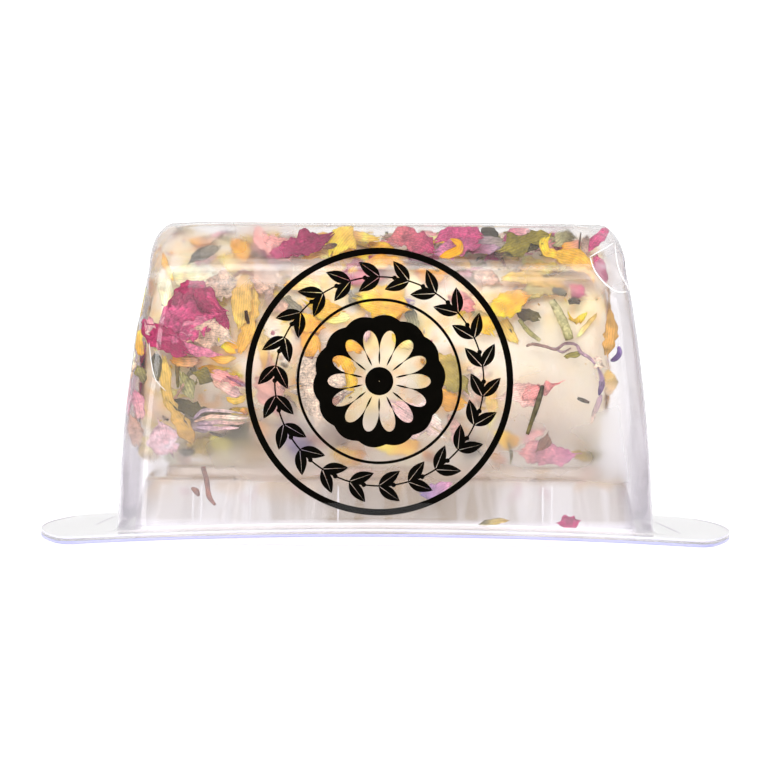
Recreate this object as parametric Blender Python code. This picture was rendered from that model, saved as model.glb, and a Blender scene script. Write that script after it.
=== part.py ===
"""A goat cheese log coated with dried petals and herbs, in its clear two-part plastic pack.

The pack's length runs along X, its front faces -Y, and it stands on z = 0 with the origin at the
middle of its footprint. Sizes are in metres, written as multiples of MM, and angles round the log are
in degrees from its top, growing towards the front.
"""

import math
import random

import bmesh
import bpy
from mathutils import Matrix, Vector

MM = 0.001

# Driving dimensions of the pack
SHEET = 0.5 * MM
GAP = 0.3 * MM
FLANGE_HALF_LENGTH = 56.6 * MM
FLANGE_HALF_DEPTH = 31.5 * MM
FLANGE_CORNER = 3.5 * MM
TAB_BULGE = 6.4 * MM
TAB_INNER = 56.0 * MM
TAB_INNER_DEPTH = 30.3 * MM
BASE_TOP = SHEET
COVER_FLANGE_TOP = 2 * SHEET + GAP

# The flange was formed slightly arched along its length, so that the pack stands on its two tabs
BOW_RISE = 1.65 * MM

# Cover: a trough upside down, with tapered walls, a sloped shoulder and a flat top
FOOT_HALF_LENGTH = 47.85 * MM
FOOT_HALF_DEPTH = 26.0 * MM
FOOT_CORNER = 6.6 * MM
CREASE_HEIGHT = 49.0 * MM
CREASE_HALF_LENGTH = 42.95 * MM
CREASE_HALF_DEPTH = 21.3 * MM
CREASE_CORNER = 5.4 * MM
TOP_HEIGHT = 57.1 * MM
TOP_HALF_LENGTH = 38.2 * MM
TOP_HALF_DEPTH = 14.0 * MM
TOP_CORNER = 4.0 * MM
WALL_CURVE = 1.85
WALL_STEPS = 4
SHOULDER_TURNS = (20, 40, 58, 75, 90)
FOOT_FILLET = 1.0 * MM

# Base tray: a flat sheet with a fluted pedestal that the cheese lies on
PEDESTAL_FOOT = (45.2 * MM, 22.4 * MM)
FLUTE_START_HEIGHT = BASE_TOP + 2 * MM
FLUTE_START_INSET = 0.4 * MM
LEDGE_EDGE = (43.3 * MM, 20.5 * MM)
PLATFORM_EDGE = (39.4 * MM, 18.7 * MM)
PEDESTAL_CORNER = 5.0 * MM
LEDGE_HEIGHT = 11.3 * MM
PLATFORM_HEIGHT = 13.4 * MM
BOW_END_HEIGHT = LEDGE_HEIGHT
EDGE_ROUND = 0.5 * MM
FLUTES = 5
FLUTE_DEPTH = 1.1 * MM

# Points on a long side, a short side and a corner of each sheet's outlines
COVER_COUNTS = (8, 4, 4)
BASE_COUNTS = (20, 6, 4)

# Cheese log
LOG_RADIUS = 20.5 * MM
LOG_AXIS_HEIGHT = 34.0 * MM
LOG_LEFT = -43.2 * MM
LOG_RIGHT = 39.4 * MM
LOG_LEAN = 0.1
LOG_LEFT_ROUND = 6.0 * MM
LOG_RIGHT_ROUND = 3.5 * MM
LOG_REST = PLATFORM_HEIGHT + GAP
LOG_SIDES = 32
LOG_STATIONS = 11

# Two slight ripples of its side: height, waves round the log, twist for each mm along, start
RIPPLES = ((0.22 * MM, 3, 0.11, 0.0), (0.16 * MM, 5, -0.19, 1.0))

# Petals, leaves and stems. A petal's outline follows a sine arch cut off by PETAL_TIP at both ends
PETAL_THICKNESS = 0.3 * MM
PETAL_LIFT = 0.4 * MM
PETAL_TIP = 0.08
EDGE_WAVER = 0.04
PETAL_STEPS = (5, 3)
SMALL_STEPS = (4, 2)
FALLEN_WAVE = 0.2 * MM

# How a petal curls: waves along and across it, and how much of its lift is its turned-up rims
CURL_ALONG = 5.5
CURL_ACROSS = 2.4
RIM_SHARE = 0.45

# Scraps under about 7 mm, pressed into the cheese: ranges in mm, along X and in degrees
SMALL_PIECES = 54
SMALL_LENGTHS = (3.5, 6.5)
SMALL_WIDTHS = (1.4, 3.2)
SMALL_WAVES = (0.4, 0.8)
SMALL_ALONG = (-37, 35)
SMALL_ROUND = (-146, 146)
SMALL_SINK = -0.55 * MM
SMALL_THICKNESS = 0.8 * MM
SMALL_CLEARANCE = 0.9
LARGE_REACH = 0.45
CANDIDATES = 60
SEED = 11

CREAM = "F3EAD6"
CLEAR = "E9E9F0"
PETAL_COLOURS = {
    "rose": "BE3D78",
    "pink": "E2A1A4",
    "straw": "DDBFB0",
    "marigold": "E9B63A",
    "amber": "DB9D3E",
    "cornflower": "6D5089",
    "leaf": "7D7A42",
    "stem": "B4B176",
}

# Each kind's outline: how far along its widest place lies, how blunt its ends are
OUTLINES = {
    "rose": (0.75, 0.45),
    "pink": (0.9, 0.5),
    "straw": (1.0, 0.4),
    "marigold": (1.0, 0.3),
    "amber": (1.0, 0.35),
    "cornflower": (1.5, 0.6),
    "leaf": (0.9, 0.9),
    "stem": (1.0, 0.1),
}

# Large petals on the log's side: name, kind, place along X, angle, length, width, turn, wave
SIDE_PETALS = (
    ("rose_petal_front", "rose", -34.3, 77, 14.5, 12.5, 15, 0.8),
    ("rose_petal_top_left", "pink", -16.9, 26, 13.5, 8.5, 5, 0.7),
    ("rose_petal_top_middle", "rose", 3.4, 24, 8.0, 7.5, -8, 0.8),
    ("rose_petal_top_right", "rose", 12.8, 22, 9.0, 8.0, 12, 0.8),
    ("rose_petal_corner", "rose", 38.0, 36, 4.2, 11.0, 12, 0.3),
    ("herb_leaf_top", "leaf", 24.6, 22, 9.0, 6.5, -10, 0.7),
    ("marigold_petal_top", "marigold", -6.2, 17, 6.5, 7.0, 60, 0.7),
    ("marigold_petal_top_right", "marigold", 32.0, 31, 4.6, 12.5, -12, 0.7),
    ("marigold_petal_left", "amber", -37.6, 117, 3.2, 14.0, -12, 0.4),
    ("pink_petal_left", "pink", -30.2, 107, 6.6, 4.6, -25, 0.5),
    ("cornflower_left", "cornflower", -29.4, 127, 9.0, 4.5, 10, 0.5),
    ("dried_flower_left", "straw", -21.4, 110, 7.4, 9.5, 5, 0.7),
    ("dried_flower_middle", "straw", -11.8, 109, 10.0, 9.5, -8, 0.7),
    ("marigold_petal_upper", "marigold", -2.0, 72, 9.5, 6.5, 25, 0.6),
    ("marigold_petal_middle", "marigold", -3.0, 101, 5.6, 8.5, 12, 0.6),
    ("marigold_petal_centre", "marigold", 11.4, 106, 9.0, 7.5, 30, 0.6),
    ("pink_petal_low", "pink", 6.0, 130, 9.0, 7.5, -12, 0.7),
    ("marigold_petal_right", "marigold", 21.8, 70, 7.5, 8.5, 15, 0.6),
    ("pink_petal_right", "pink", 23.6, 110, 13.0, 5.5, 4, 0.5),
    ("pink_petal_low_right", "pink", 31.0, 141, 8.0, 6.0, 8, 0.6),
    ("herb_stem_right", "stem", 31.4, 76, 2.4, 9.0, -22, 0.3),
    ("rose_petal_back_left", "rose", -27.0, 270, 13.0, 11.5, 40, 0.8),
    ("rose_petal_back_right", "rose", 22.0, 292, 12.0, 10.5, -30, 0.8),
    ("pink_petal_back", "pink", -6.0, 255, 12.0, 8.0, 12, 0.7),
    ("marigold_petal_back_left", "marigold", -15.0, 300, 5.0, 12.0, 35, 0.6),
    ("marigold_petal_back_right", "marigold", 9.0, 272, 12.0, 5.0, -15, 0.6),
    ("cornflower_back", "cornflower", 32.5, 262, 9.5, 5.0, 60, 0.5),
    ("herb_leaf_back", "leaf", 8.0, 320, 10.0, 5.5, 25, 0.6),
)

# Large petals on the log's ends: name, kind, end, place across, height, length, width, turn, wave
END_PETALS = (
    ("marigold_petal_end_upper", "amber", 1, -15.5, 41.0, 4.0, 9.5, 6, 0.8),
    ("marigold_petal_end_lower", "amber", 1, -13.0, 27.5, 5.0, 7.5, -12, 0.8),
    ("rose_petal_end", "rose", 1, 4.0, 35.0, 11.0, 10.0, 25, 0.8),
    ("pink_petal_end", "pink", -1, -7.0, 25.0, 9.0, 7.0, -35, 0.4),
)

# Bits that fell beside the pedestal: name, kind, X, height of the middle, length, width, turn
FALLEN_BITS = (
    ("fallen_twig", "stem", -31.4, 9.8, 0.9, 7.2, 12),
    ("fallen_cornflower", "cornflower", 8.9, 9.6, 6.2, 2.0, 14),
    ("fallen_rose", "rose", 32.3, 4.0, 3.7, 2.0, 4),
    ("fallen_leaf", "leaf", 19.3, 3.6, 4.8, 1.2, -3),
)


def linear_colour(code):
    """The linear RGBA of an sRGB hex code."""
    channels = [int(code[i:i + 2], 16) / 255 for i in (0, 2, 4)]
    return [c / 12.92 if c <= 0.04045 else ((c + 0.055) / 1.055) ** 2.4 for c in channels] + [1.0]


def material(name, code, roughness, alpha=1.0):
    """A Principled material of one colour, made once for each name."""
    made = bpy.data.materials.get(name)
    if made is None:
        made = bpy.data.materials.new(name)
        made.use_nodes = True
        shader = made.node_tree.nodes["Principled BSDF"]
        shader.inputs["Base Color"].default_value = linear_colour(code)
        shader.inputs["Roughness"].default_value = roughness
        shader.inputs["Metallic"].default_value = 0.0
        shader.inputs["Alpha"].default_value = alpha
    return made


def new_object(name, points, faces, finish):
    """A smooth-shaded mesh object in the scene."""
    mesh = bpy.data.meshes.new(name)
    mesh.from_pydata([tuple(p) for p in points], [], faces)
    mesh.validate()
    mesh.materials.append(finish)
    mesh.shade_smooth()
    made = bpy.data.objects.new(name, mesh)
    bpy.context.scene.collection.objects.link(made)
    return made


def thicken(obj, thickness, offset):
    """Gives a surface its thickness, on the side of its normals for offset 1 and behind it for -1."""
    solid = obj.modifiers.new("Thickness", "SOLIDIFY")
    solid.thickness = thickness
    solid.offset = offset
    solid.use_even_offset = True


# Pack


def bow(x, height):
    """How far the arched flange lifts a point. The tabs' ends stay flat on the ground."""
    along = min(abs(x) / TAB_INNER, 1.0)
    fade = (BOW_END_HEIGHT - height) / (BOW_END_HEIGHT - COVER_FLANGE_TOP)
    return BOW_RISE * (1 - along * along) * max(0.0, min(1.0, fade))


def outline(half_length, half_depth, radius, counts, flute=0.0, bulge=0.0):
    """A rounded rectangle's points, anticlockwise from its front left. Its long sides may be fluted
    inward, and its ends bulge outward in an arc."""
    on_long, on_short, on_corner = counts
    run, across = half_length - radius, half_depth - radius
    sides = (
        ((-run, -half_depth), (run, -half_depth), on_long, FLUTES),
        ((half_length, -across), (half_length, across), on_short, 2),
        ((run, half_depth), (-run, half_depth), on_long, FLUTES),
        ((-half_length, across), (-half_length, -across), on_short, 2),
    )
    centres = ((run, -across), (run, across), (-run, across), (-run, -across))
    points = []
    for side, (start, end, steps, flutes) in enumerate(sides):
        inward = Vector((-math.sin(side * math.pi / 2), math.cos(side * math.pi / 2)))
        for step in range(steps):
            part = step / steps
            dip = flute * (1 - math.cos(2 * math.pi * flutes * part)) / 2
            points.append(Vector(start).lerp(Vector(end), part) + inward * dip)
        for step in range(on_corner):
            turn = math.radians(-90 + 90 * (side + step / on_corner))
            points.append(Vector(centres[side]) + radius * Vector((math.cos(turn), math.sin(turn))))
    for point in points:
        point.x += math.copysign(bulge * (1 - (point.y / half_depth) ** 2), point.x)
    return points


def formed_sheet(name, stations, counts, finish):
    """A thermoformed sheet through a row of outlines, from the flange's edge to the middle."""
    points = []
    for height, half_length, half_depth, radius, flute, bulge in stations:
        for p in outline(half_length, half_depth, radius, counts, flute, bulge):
            points.append((p.x, p.y, height + bow(p.x, height)))
    around = len(points) // len(stations)
    faces = []
    for ring in range(len(stations) - 1):
        for i in range(around):
            j = (i + 1) % around
            low, high = ring * around, (ring + 1) * around
            faces.append((low + i, low + j, high + j, high + i))
    last = (len(stations) - 1) * around
    faces.append(tuple(range(last, last + around)))
    made = new_object(name, points, faces, finish)
    thicken(made, SHEET, -1)
    return made


def flange_stations(height):
    """The flange's edge with its rounded tabs, and the line where the tabs meet the rest."""
    return [
        (height, FLANGE_HALF_LENGTH, FLANGE_HALF_DEPTH, FLANGE_CORNER, 0, TAB_BULGE),
        (height, TAB_INNER, TAB_INNER_DEPTH, FLANGE_CORNER, 0, 0),
    ]


def cover_section(height):
    """The cover's half length, half depth and corner radius at a height."""
    if height <= CREASE_HEIGHT:
        part = (height / CREASE_HEIGHT) ** WALL_CURVE
        return (
            FOOT_HALF_LENGTH + (CREASE_HALF_LENGTH - FOOT_HALF_LENGTH) * part,
            FOOT_HALF_DEPTH + (CREASE_HALF_DEPTH - FOOT_HALF_DEPTH) * part,
            FOOT_CORNER + (CREASE_CORNER - FOOT_CORNER) * part,
        )
    part = (height - CREASE_HEIGHT) / (TOP_HEIGHT - CREASE_HEIGHT)
    rounding = 1 - math.sqrt(max(0.0, 1 - part * part))
    return (
        CREASE_HALF_LENGTH + (TOP_HALF_LENGTH - CREASE_HALF_LENGTH) * rounding,
        CREASE_HALF_DEPTH + (TOP_HALF_DEPTH - CREASE_HALF_DEPTH) * part,
        CREASE_CORNER + (TOP_CORNER - CREASE_CORNER) * part,
    )


def make_cover():
    """The clear cover: flange, foot fillet, tapered walls, sloped shoulder and flat top."""
    foot = cover_section(COVER_FLANGE_TOP)
    stations = flange_stations(COVER_FLANGE_TOP)
    for turn in (0, 45):
        reach = FOOT_FILLET * (1 - math.sin(math.radians(turn)))
        rise = FOOT_FILLET * (1 - math.cos(math.radians(turn)))
        stations.append(
            (COVER_FLANGE_TOP + rise, foot[0] + reach, foot[1] + reach, foot[2] + reach, 0, 0)
        )
    wall_bottom = COVER_FLANGE_TOP + FOOT_FILLET
    wall_step = (CREASE_HEIGHT - wall_bottom) / WALL_STEPS
    heights = [wall_bottom + wall_step * i for i in range(WALL_STEPS + 1)]
    for turn in SHOULDER_TURNS:
        heights.append(CREASE_HEIGHT + (TOP_HEIGHT - CREASE_HEIGHT) * math.sin(math.radians(turn)))
    for height in heights:
        stations.append((height, *cover_section(height), 0, 0))
    return formed_sheet("cover", stations, COVER_COUNTS, material("clear_film", CLEAR, 0.08, 0.3))


def make_base():
    """The clear tray: flange, flat floor and a fluted pedestal with a ledge round its platform."""
    foot, ledge, platform = PEDESTAL_FOOT, LEDGE_EDGE, PLATFORM_EDGE
    corner, edge = PEDESTAL_CORNER, EDGE_ROUND
    inner = corner - edge
    start = [half - FLUTE_START_INSET for half in foot]
    stations = flange_stations(BASE_TOP) + [
        (BASE_TOP, *foot, corner, 0, 0),
        (FLUTE_START_HEIGHT, *start, corner, FLUTE_DEPTH, 0),
        (LEDGE_HEIGHT - 3 * edge, *ledge, corner, FLUTE_DEPTH, 0),
        (LEDGE_HEIGHT, ledge[0] - edge, ledge[1] - edge, inner, 0, 0),
        (LEDGE_HEIGHT, platform[0] + edge, platform[1] + edge, inner, 0, 0),
        (PLATFORM_HEIGHT - edge, *platform, inner, 0, 0),
        (PLATFORM_HEIGHT, platform[0] - edge, platform[1] - edge, inner, 0, 0),
    ]
    return formed_sheet("base", stations, BASE_COUNTS, material("clear_tray", CLEAR, 0.15, 0.3))


# Cheese


def log_radius(x, angle):
    """The log's uneven radius at a place along X and an angle in radians from its top."""
    radius = LOG_RADIUS
    for height, waves, twist, start in RIPPLES:
        radius += height * math.sin(waves * angle + twist * x / MM + start)
    return radius


def log_end(side, height):
    """Where an end face is at a height. The left one leans with the cover's wall."""
    return LOG_RIGHT if side > 0 else LOG_LEFT + LOG_LEAN * (height - LOG_AXIS_HEIGHT)


def on_side(x, angle, lift):
    """A point over the log's side."""
    reach = log_radius(x, angle) + lift
    height = LOG_AXIS_HEIGHT + reach * math.cos(angle)
    return Vector((x, -reach * math.sin(angle), height))


def log_profile(side):
    """An end's section from its middle out: the radius as a share of the log's, and how far in it is."""
    rounding = LOG_RIGHT_ROUND if side > 0 else LOG_LEFT_ROUND
    flat = 1 - rounding / LOG_RADIUS
    profile = [(flat / 2, 0.0), (flat, 0.0)]
    for turn in (35, 65):
        out, back = math.sin(math.radians(turn)), 1 - math.cos(math.radians(turn))
        profile.append((flat + (1 - flat) * out, rounding * back))
    profile.append((1.0, rounding))
    return profile


def log_ring(share, side, inset):
    """One ring of the log, at a distance in from an end. Its underside lies flat on the platform."""
    ring = []
    for i in range(LOG_SIDES):
        angle = 2 * math.pi * i / LOG_SIDES
        x = log_end(side, LOG_AXIS_HEIGHT) - side * inset
        point = on_side(x, angle, 0)
        point.y *= share
        point.z = LOG_AXIS_HEIGHT + (point.z - LOG_AXIS_HEIGHT) * share
        point.z = max(point.z, LOG_REST)
        if inset < LOG_LEFT_ROUND:
            point.x += log_end(side, point.z) - log_end(side, LOG_AXIS_HEIGHT)
        ring.append(point)
    return ring


def make_log():
    """The cheese: an uneven cylinder with rounded ends and a flat underside."""
    rings = [log_ring(share, -1, inset) for share, inset in log_profile(-1)]
    start, end = LOG_LEFT + LOG_LEFT_ROUND, LOG_RIGHT - LOG_RIGHT_ROUND
    for i in range(1, LOG_STATIONS):
        rings.append(log_ring(1.0, 1, LOG_RIGHT - (start + (end - start) * i / LOG_STATIONS)))
    rings += [log_ring(share, 1, inset) for share, inset in reversed(log_profile(1))]
    mesh = bmesh.new()
    rows = [[mesh.verts.new(p) for p in ring] for ring in rings]
    for low, high in zip(rows, rows[1:]):
        for i in range(LOG_SIDES):
            j = (i + 1) % LOG_SIDES
            mesh.faces.new((low[i], high[i], high[j], low[j]))
    mesh.faces.new(rows[0])
    mesh.faces.new(reversed(rows[-1]))
    bmesh.ops.recalc_face_normals(mesh, faces=mesh.faces)
    bmesh.ops.triangulate(mesh, faces=mesh.faces)
    made = new_object("log", [], [], material("fresh_cheese", CREAM, 0.6))
    mesh.to_mesh(made.data)
    mesh.free()
    made.data.shade_smooth()
    return made


# Petals


def petal_grid(kind, length, width, wave, steps, seed):
    """A petal's points lying flat, as rows of (along, across, lift), wavy and with its ends tapered."""
    draw = random.Random(seed)
    widest, blunt = OUTLINES[kind]
    phases = [draw.uniform(0, 2 * math.pi) for _ in range(3)]
    turned = width > length
    long_side, short_side = max(length, width), min(length, width)
    rows = []
    for i in range(steps[0] + 1):
        part = i / steps[0]
        inside = PETAL_TIP + (1 - 2 * PETAL_TIP) * part
        half = short_side / 2 * math.sin(math.pi * inside ** widest) ** blunt
        row = []
        for j in range(steps[1] + 1):
            side = 2 * j / steps[1] - 1
            waver = EDGE_WAVER * short_side * math.sin(3 * side + phases[0])
            along = (part - 0.5) * long_side + waver
            across = side * half
            waves = math.sin(CURL_ALONG * part + phases[1]) + math.sin(CURL_ACROSS * side + phases[2])
            lift = wave * ((1 - RIM_SHARE) * (2 + waves) / 4 + RIM_SHARE * side * side)
            row.append((across, along, lift) if turned else (along, across, lift))
        rows.append(row)
    return rows


def petal_faces(rows):
    """Triangles over the grid, their diagonals all one way."""
    faces, width = [], len(rows[0])
    for i in range(len(rows) - 1):
        for j in range(width - 1):
            a, b = i * width + j, (i + 1) * width + j
            faces += [(a, b, b + 1), (a, b + 1, a + 1)]
    return faces


def facing_out(points, faces, outward):
    """The faces, turned round if they don't face outward."""
    a, b, c = (points[i] for i in faces[0])
    return faces if (b - a).cross(c - a).dot(outward) > 0 else [face[::-1] for face in faces]


def make_petal(name, kind, place, size, turn, wave, steps=PETAL_STEPS, seed=0, thick=PETAL_THICKNESS):
    """A thin wavy solid laid on the log. The place maps (x, y, lift) of the flat petal to the log."""
    length, width = size
    spin = Matrix.Rotation(math.radians(turn), 2)
    rows = petal_grid(kind, length, width, wave, steps, seed)
    points = []
    for row in rows:
        for along, across, lift in row:
            flat = spin @ Vector((along, across))
            points.append(place(flat.x, flat.y, lift))
    middle = place(0, 0, 0)
    faces = facing_out(points, petal_faces(rows), place(0, 0, MM) - middle)
    made = new_object(name, points, faces, material(f"{kind}_petal", PETAL_COLOURS[kind], 0.7))
    thicken(made, thick, 1)
    return made


def side_place(x, angle, base_lift):
    """Lays a flat petal on the log's side, its second direction running down round the log."""
    start = math.radians(angle)
    return lambda u, v, lift: on_side(x + u, start - v / LOG_RADIUS, base_lift + lift)


def end_place(side, across, height, base_lift):
    """Lays a flat petal on the log's end face."""

    def place(u, v, lift):
        z = height + v
        return Vector((log_end(side, z) + side * (base_lift + lift), across + u, z))

    return place


def front_wall_place(x, height):
    """Stands a flat petal in the slot between the pedestal and the cover's front wall."""

    def place(u, v, lift):
        z = height + v
        slot = (cover_section(z)[1] - SHEET + PEDESTAL_FOOT[1]) / 2
        return Vector((x + u, -slot - lift, z))

    return place


def make_large_petals():
    """The petals that are as large as a berry, each its own solid."""
    for number, (name, kind, x, angle, length, width, turn, wave) in enumerate(SIDE_PETALS):
        place = side_place(x * MM, angle, PETAL_LIFT)
        make_petal(name, kind, place, (length * MM, width * MM), turn, wave * MM, seed=number)
    for number, (name, kind, side, across, z, length, width, turn, wave) in enumerate(END_PETALS):
        place = end_place(side, across * MM, z * MM, PETAL_LIFT)
        make_petal(name, kind, place, (length * MM, width * MM), turn, wave * MM, seed=100 + number)


def make_fallen_bits():
    """The few bits that dropped off the log into the slot in front of the pedestal."""
    for number, (name, kind, x, z, length, width, turn) in enumerate(FALLEN_BITS):
        place = front_wall_place(x * MM, z * MM)
        size = (length * MM, width * MM)
        make_petal(name, kind, place, size, turn, FALLEN_WAVE, SMALL_STEPS, 200 + number)


def apart(first, second):
    """The distance in mm between two places on the side, each given along X and as an angle."""
    turn = (first[1] - second[1] + 180) % 360 - 180
    return math.hypot(first[0] - second[0], math.radians(turn) * LOG_RADIUS / MM)


def free_of_large(place, reach):
    """Whether a small piece at a place keeps clear of the large petals on the side."""
    for _, _, x, angle, length, width, _, _ in SIDE_PETALS:
        if apart(place, (x, angle)) < LARGE_REACH * max(length, width) + reach + SMALL_CLEARANCE:
            return False
    return True


def make_small_pieces():
    """Petal scraps, stems and seeds pressed into the cheese. Each is put where, of some places drawn
    at random, the others are farthest away, so that they spread evenly."""
    draw = random.Random(SEED)
    kinds = ("marigold", "marigold", "pink", "rose", "leaf", "stem", "straw", "cornflower")
    pieces, places = [], []
    for number in range(SMALL_PIECES):
        length, width = draw.uniform(*SMALL_LENGTHS), draw.uniform(*SMALL_WIDTHS)
        drawn = [(draw.uniform(*SMALL_ALONG), draw.uniform(*SMALL_ROUND)) for _ in range(CANDIDATES)]
        free = [place for place in drawn if free_of_large(place, length / 2)]
        best = max(free, key=lambda place: min([apart(place, other) for other in places], default=0))
        places.append(best)
        seat = side_place(best[0] * MM, best[1], SMALL_SINK)
        kind, turn, wave = draw.choice(kinds), draw.uniform(0, 180), draw.uniform(*SMALL_WAVES) * MM
        size = (length * MM, width * MM)
        name = f"scrap_{number:02d}"
        scrap = make_petal(name, kind, seat, size, turn, wave, SMALL_STEPS, 300 + number, SMALL_THICKNESS)
        pieces.append(scrap)
    return pieces


def keep_largest_shell(mesh):
    """Drops loose scraps and the walls of sealed hollows, which then are filled."""
    work = bmesh.new()
    work.from_mesh(mesh)
    unseen, shells = set(work.verts), []
    while unseen:
        shell, edge = set(), [unseen.pop()]
        while edge:
            vert = edge.pop()
            shell.add(vert)
            for other in (link.other_vert(vert) for link in vert.link_edges):
                if other in unseen:
                    unseen.remove(other)
                    edge.append(other)
        shells.append(shell)
    shells.sort(key=len)
    for shell in shells[:-1]:
        bmesh.ops.delete(work, geom=list(shell), context="VERTS")
    work.to_mesh(mesh)
    work.free()


def fuse(body, pieces):
    """Joins pieces to a body by one Boolean union, then removes them."""
    group = bpy.data.collections.new("scraps")
    bpy.context.scene.collection.children.link(group)
    for piece in pieces:
        bpy.context.scene.collection.objects.unlink(piece)
        group.objects.link(piece)
    union = body.modifiers.new("Scraps", "BOOLEAN")
    union.operation = "UNION"
    union.operand_type = "COLLECTION"
    union.collection = group
    union.solver = "MANIFOLD"
    bpy.context.view_layer.update()
    graph = bpy.context.evaluated_depsgraph_get()
    joined = bpy.data.meshes.new_from_object(body.evaluated_get(graph))
    keep_largest_shell(joined)
    body.modifiers.clear()
    body.data = joined
    body.data.shade_smooth()
    for piece in pieces:
        bpy.data.objects.remove(piece)
    bpy.data.collections.remove(group)


def main():
    """Clears the scene and builds the pack, the cheese and what lies on it."""
    for old in list(bpy.data.objects):
        bpy.data.objects.remove(old)
    make_cover()
    make_base()
    log = make_log()
    make_large_petals()
    make_fallen_bits()
    fuse(log, make_small_pieces())


main()
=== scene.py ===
import itertools
import math

import bpy
import numpy as np
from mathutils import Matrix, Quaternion, Vector


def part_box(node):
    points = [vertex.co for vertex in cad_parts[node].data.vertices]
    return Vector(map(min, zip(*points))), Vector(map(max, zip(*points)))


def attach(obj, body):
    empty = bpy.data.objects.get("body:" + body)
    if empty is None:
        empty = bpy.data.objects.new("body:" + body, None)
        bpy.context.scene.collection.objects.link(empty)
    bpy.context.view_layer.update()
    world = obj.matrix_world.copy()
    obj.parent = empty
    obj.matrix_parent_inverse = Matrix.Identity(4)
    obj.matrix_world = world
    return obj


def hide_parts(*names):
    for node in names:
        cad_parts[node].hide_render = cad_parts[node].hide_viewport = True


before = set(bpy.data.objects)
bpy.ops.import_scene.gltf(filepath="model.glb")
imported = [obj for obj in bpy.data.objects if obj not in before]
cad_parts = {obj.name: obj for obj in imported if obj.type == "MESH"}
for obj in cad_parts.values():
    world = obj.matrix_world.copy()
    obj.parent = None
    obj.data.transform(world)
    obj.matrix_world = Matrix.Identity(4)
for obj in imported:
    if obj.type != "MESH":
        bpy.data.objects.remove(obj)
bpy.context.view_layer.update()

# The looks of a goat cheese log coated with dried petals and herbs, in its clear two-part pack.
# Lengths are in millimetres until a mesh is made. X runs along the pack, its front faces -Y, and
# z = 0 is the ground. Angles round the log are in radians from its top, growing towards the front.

MM = 0.001


def highest_corner(node):
    """The highest corner of a CAD node's box, in mm."""
    return np.array(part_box(node)[1]) / MM


# The pack, as its mould shaped it
COVER_HIGH = highest_corner("cover")
BASE_HIGH = highest_corner("base")
TAB_BULGE = 6.4
FLANGE_HALF_LENGTH = COVER_HIGH[0] - TAB_BULGE
FLANGE_HALF_DEPTH = COVER_HIGH[1]
FLANGE_CORNER = 3.5
TAB_INNER = 56.0
TAB_INNER_DEPTH = 30.3
COVER_FLANGE_TOP = 1.3
BASE_TOP = 0.5
BOW_RISE = 1.65
BOW_END_HEIGHT = 11.3
FOOT_HALF = (47.85, 26.0)
FOOT_CORNER = 6.6
FOOT_FILLET = 1.0
CREASE_HEIGHT = 49.0
CREASE_HALF = (42.95, 21.3)
CREASE_CORNER = 5.4
CREASE_ROUND = 0.8
TOP_ROUND = 2.2
TOP_HEIGHT = COVER_HIGH[2] - 0.1
TOP_HALF = (38.2, 14.0)
TOP_CORNER = 4.0
WALL_CURVE = 1.85
FILM = 0.35
TRAY_SHEET = 0.5
PEDESTAL_FOOT = (45.2, 22.4)
LEDGE_EDGE = (43.3, 20.5)
LEDGE_HEIGHT = 11.3
PLATFORM_EDGE = (39.4, 18.7)
PLATFORM_HEIGHT = BASE_HIGH[2]
PEDESTAL_CORNER = 5.0
PEDESTAL_TOE = 0.4
TOE_TOP = 2.5
WALL_TOP = LEDGE_HEIGHT - 1.0
FLUTES = 5
FLUTE_DEPTH = 1.1

# The cheese
LOG_RADIUS = 20.5
LOG_AXIS = 34.0
LOG_LEFT = -43.2
LOG_RIGHT = 39.4
LOG_LEAN = 0.1
LOG_ROUND = {-1: 6.0, 1: 3.5}
LOG_REST = PLATFORM_HEIGHT + 0.3
RIPPLES = ((0.22, 3, 0.11, 0.0), (0.16, 5, -0.19, 1.0))

# The camera, and the plane at the log's front in which places seen from the camera are given
CAMERA_PLACE = (0.0, -620.0, 45.0)
CAMERA_TARGET = (-0.37, 0.0, 27.5)
CAMERA_LENS = 158.0
CAMERA_ROLL = 0.0052
SEEN_PLANE = -20.0

COLOURS = {
    "deep rose": "B02458", "bright rose": "CC2474", "rose": "C43E70", "wine": "971E4E",
    "pale rose": "DC8C9E", "salmon": "E8A89C", "coral": "D8827E", "magenta": "C8527E",
    "orchid": "DC8CAE", "blush": "EEC2BC", "soft pink": "F6CFD2", "lime": "DACD62", "shell": "F0D6C4",
    "tan pink": "DCB092", "rust": "A86650", "straw": "DCC6AE", "dark straw": "A58878",
    "cream": "F8EDD2", "pale yellow": "FBE7A4", "yellow": "FCD02E", "bright": "FFD41A",
    "orange": "FAB22C", "amber": "E6AE3E", "ochre": "C79A4C", "dull yellow": "E6C460",
    "olive": "938328", "dark olive": "4E4220", "moss": "74683C", "sage": "C2BA86",
    "pale sage": "D9D0A4", "leaf": "988F4E", "grey": "A59A84", "slate": "5E584A", "brown": "86624A",
    "umber": "55402E", "bark": "9C6448", "seed": "6E654E", "violet": "7E5EA0", "deep violet": "553C6E",
    "lavender": "B49ACB", "mauve": "B79AA8",
}

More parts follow.
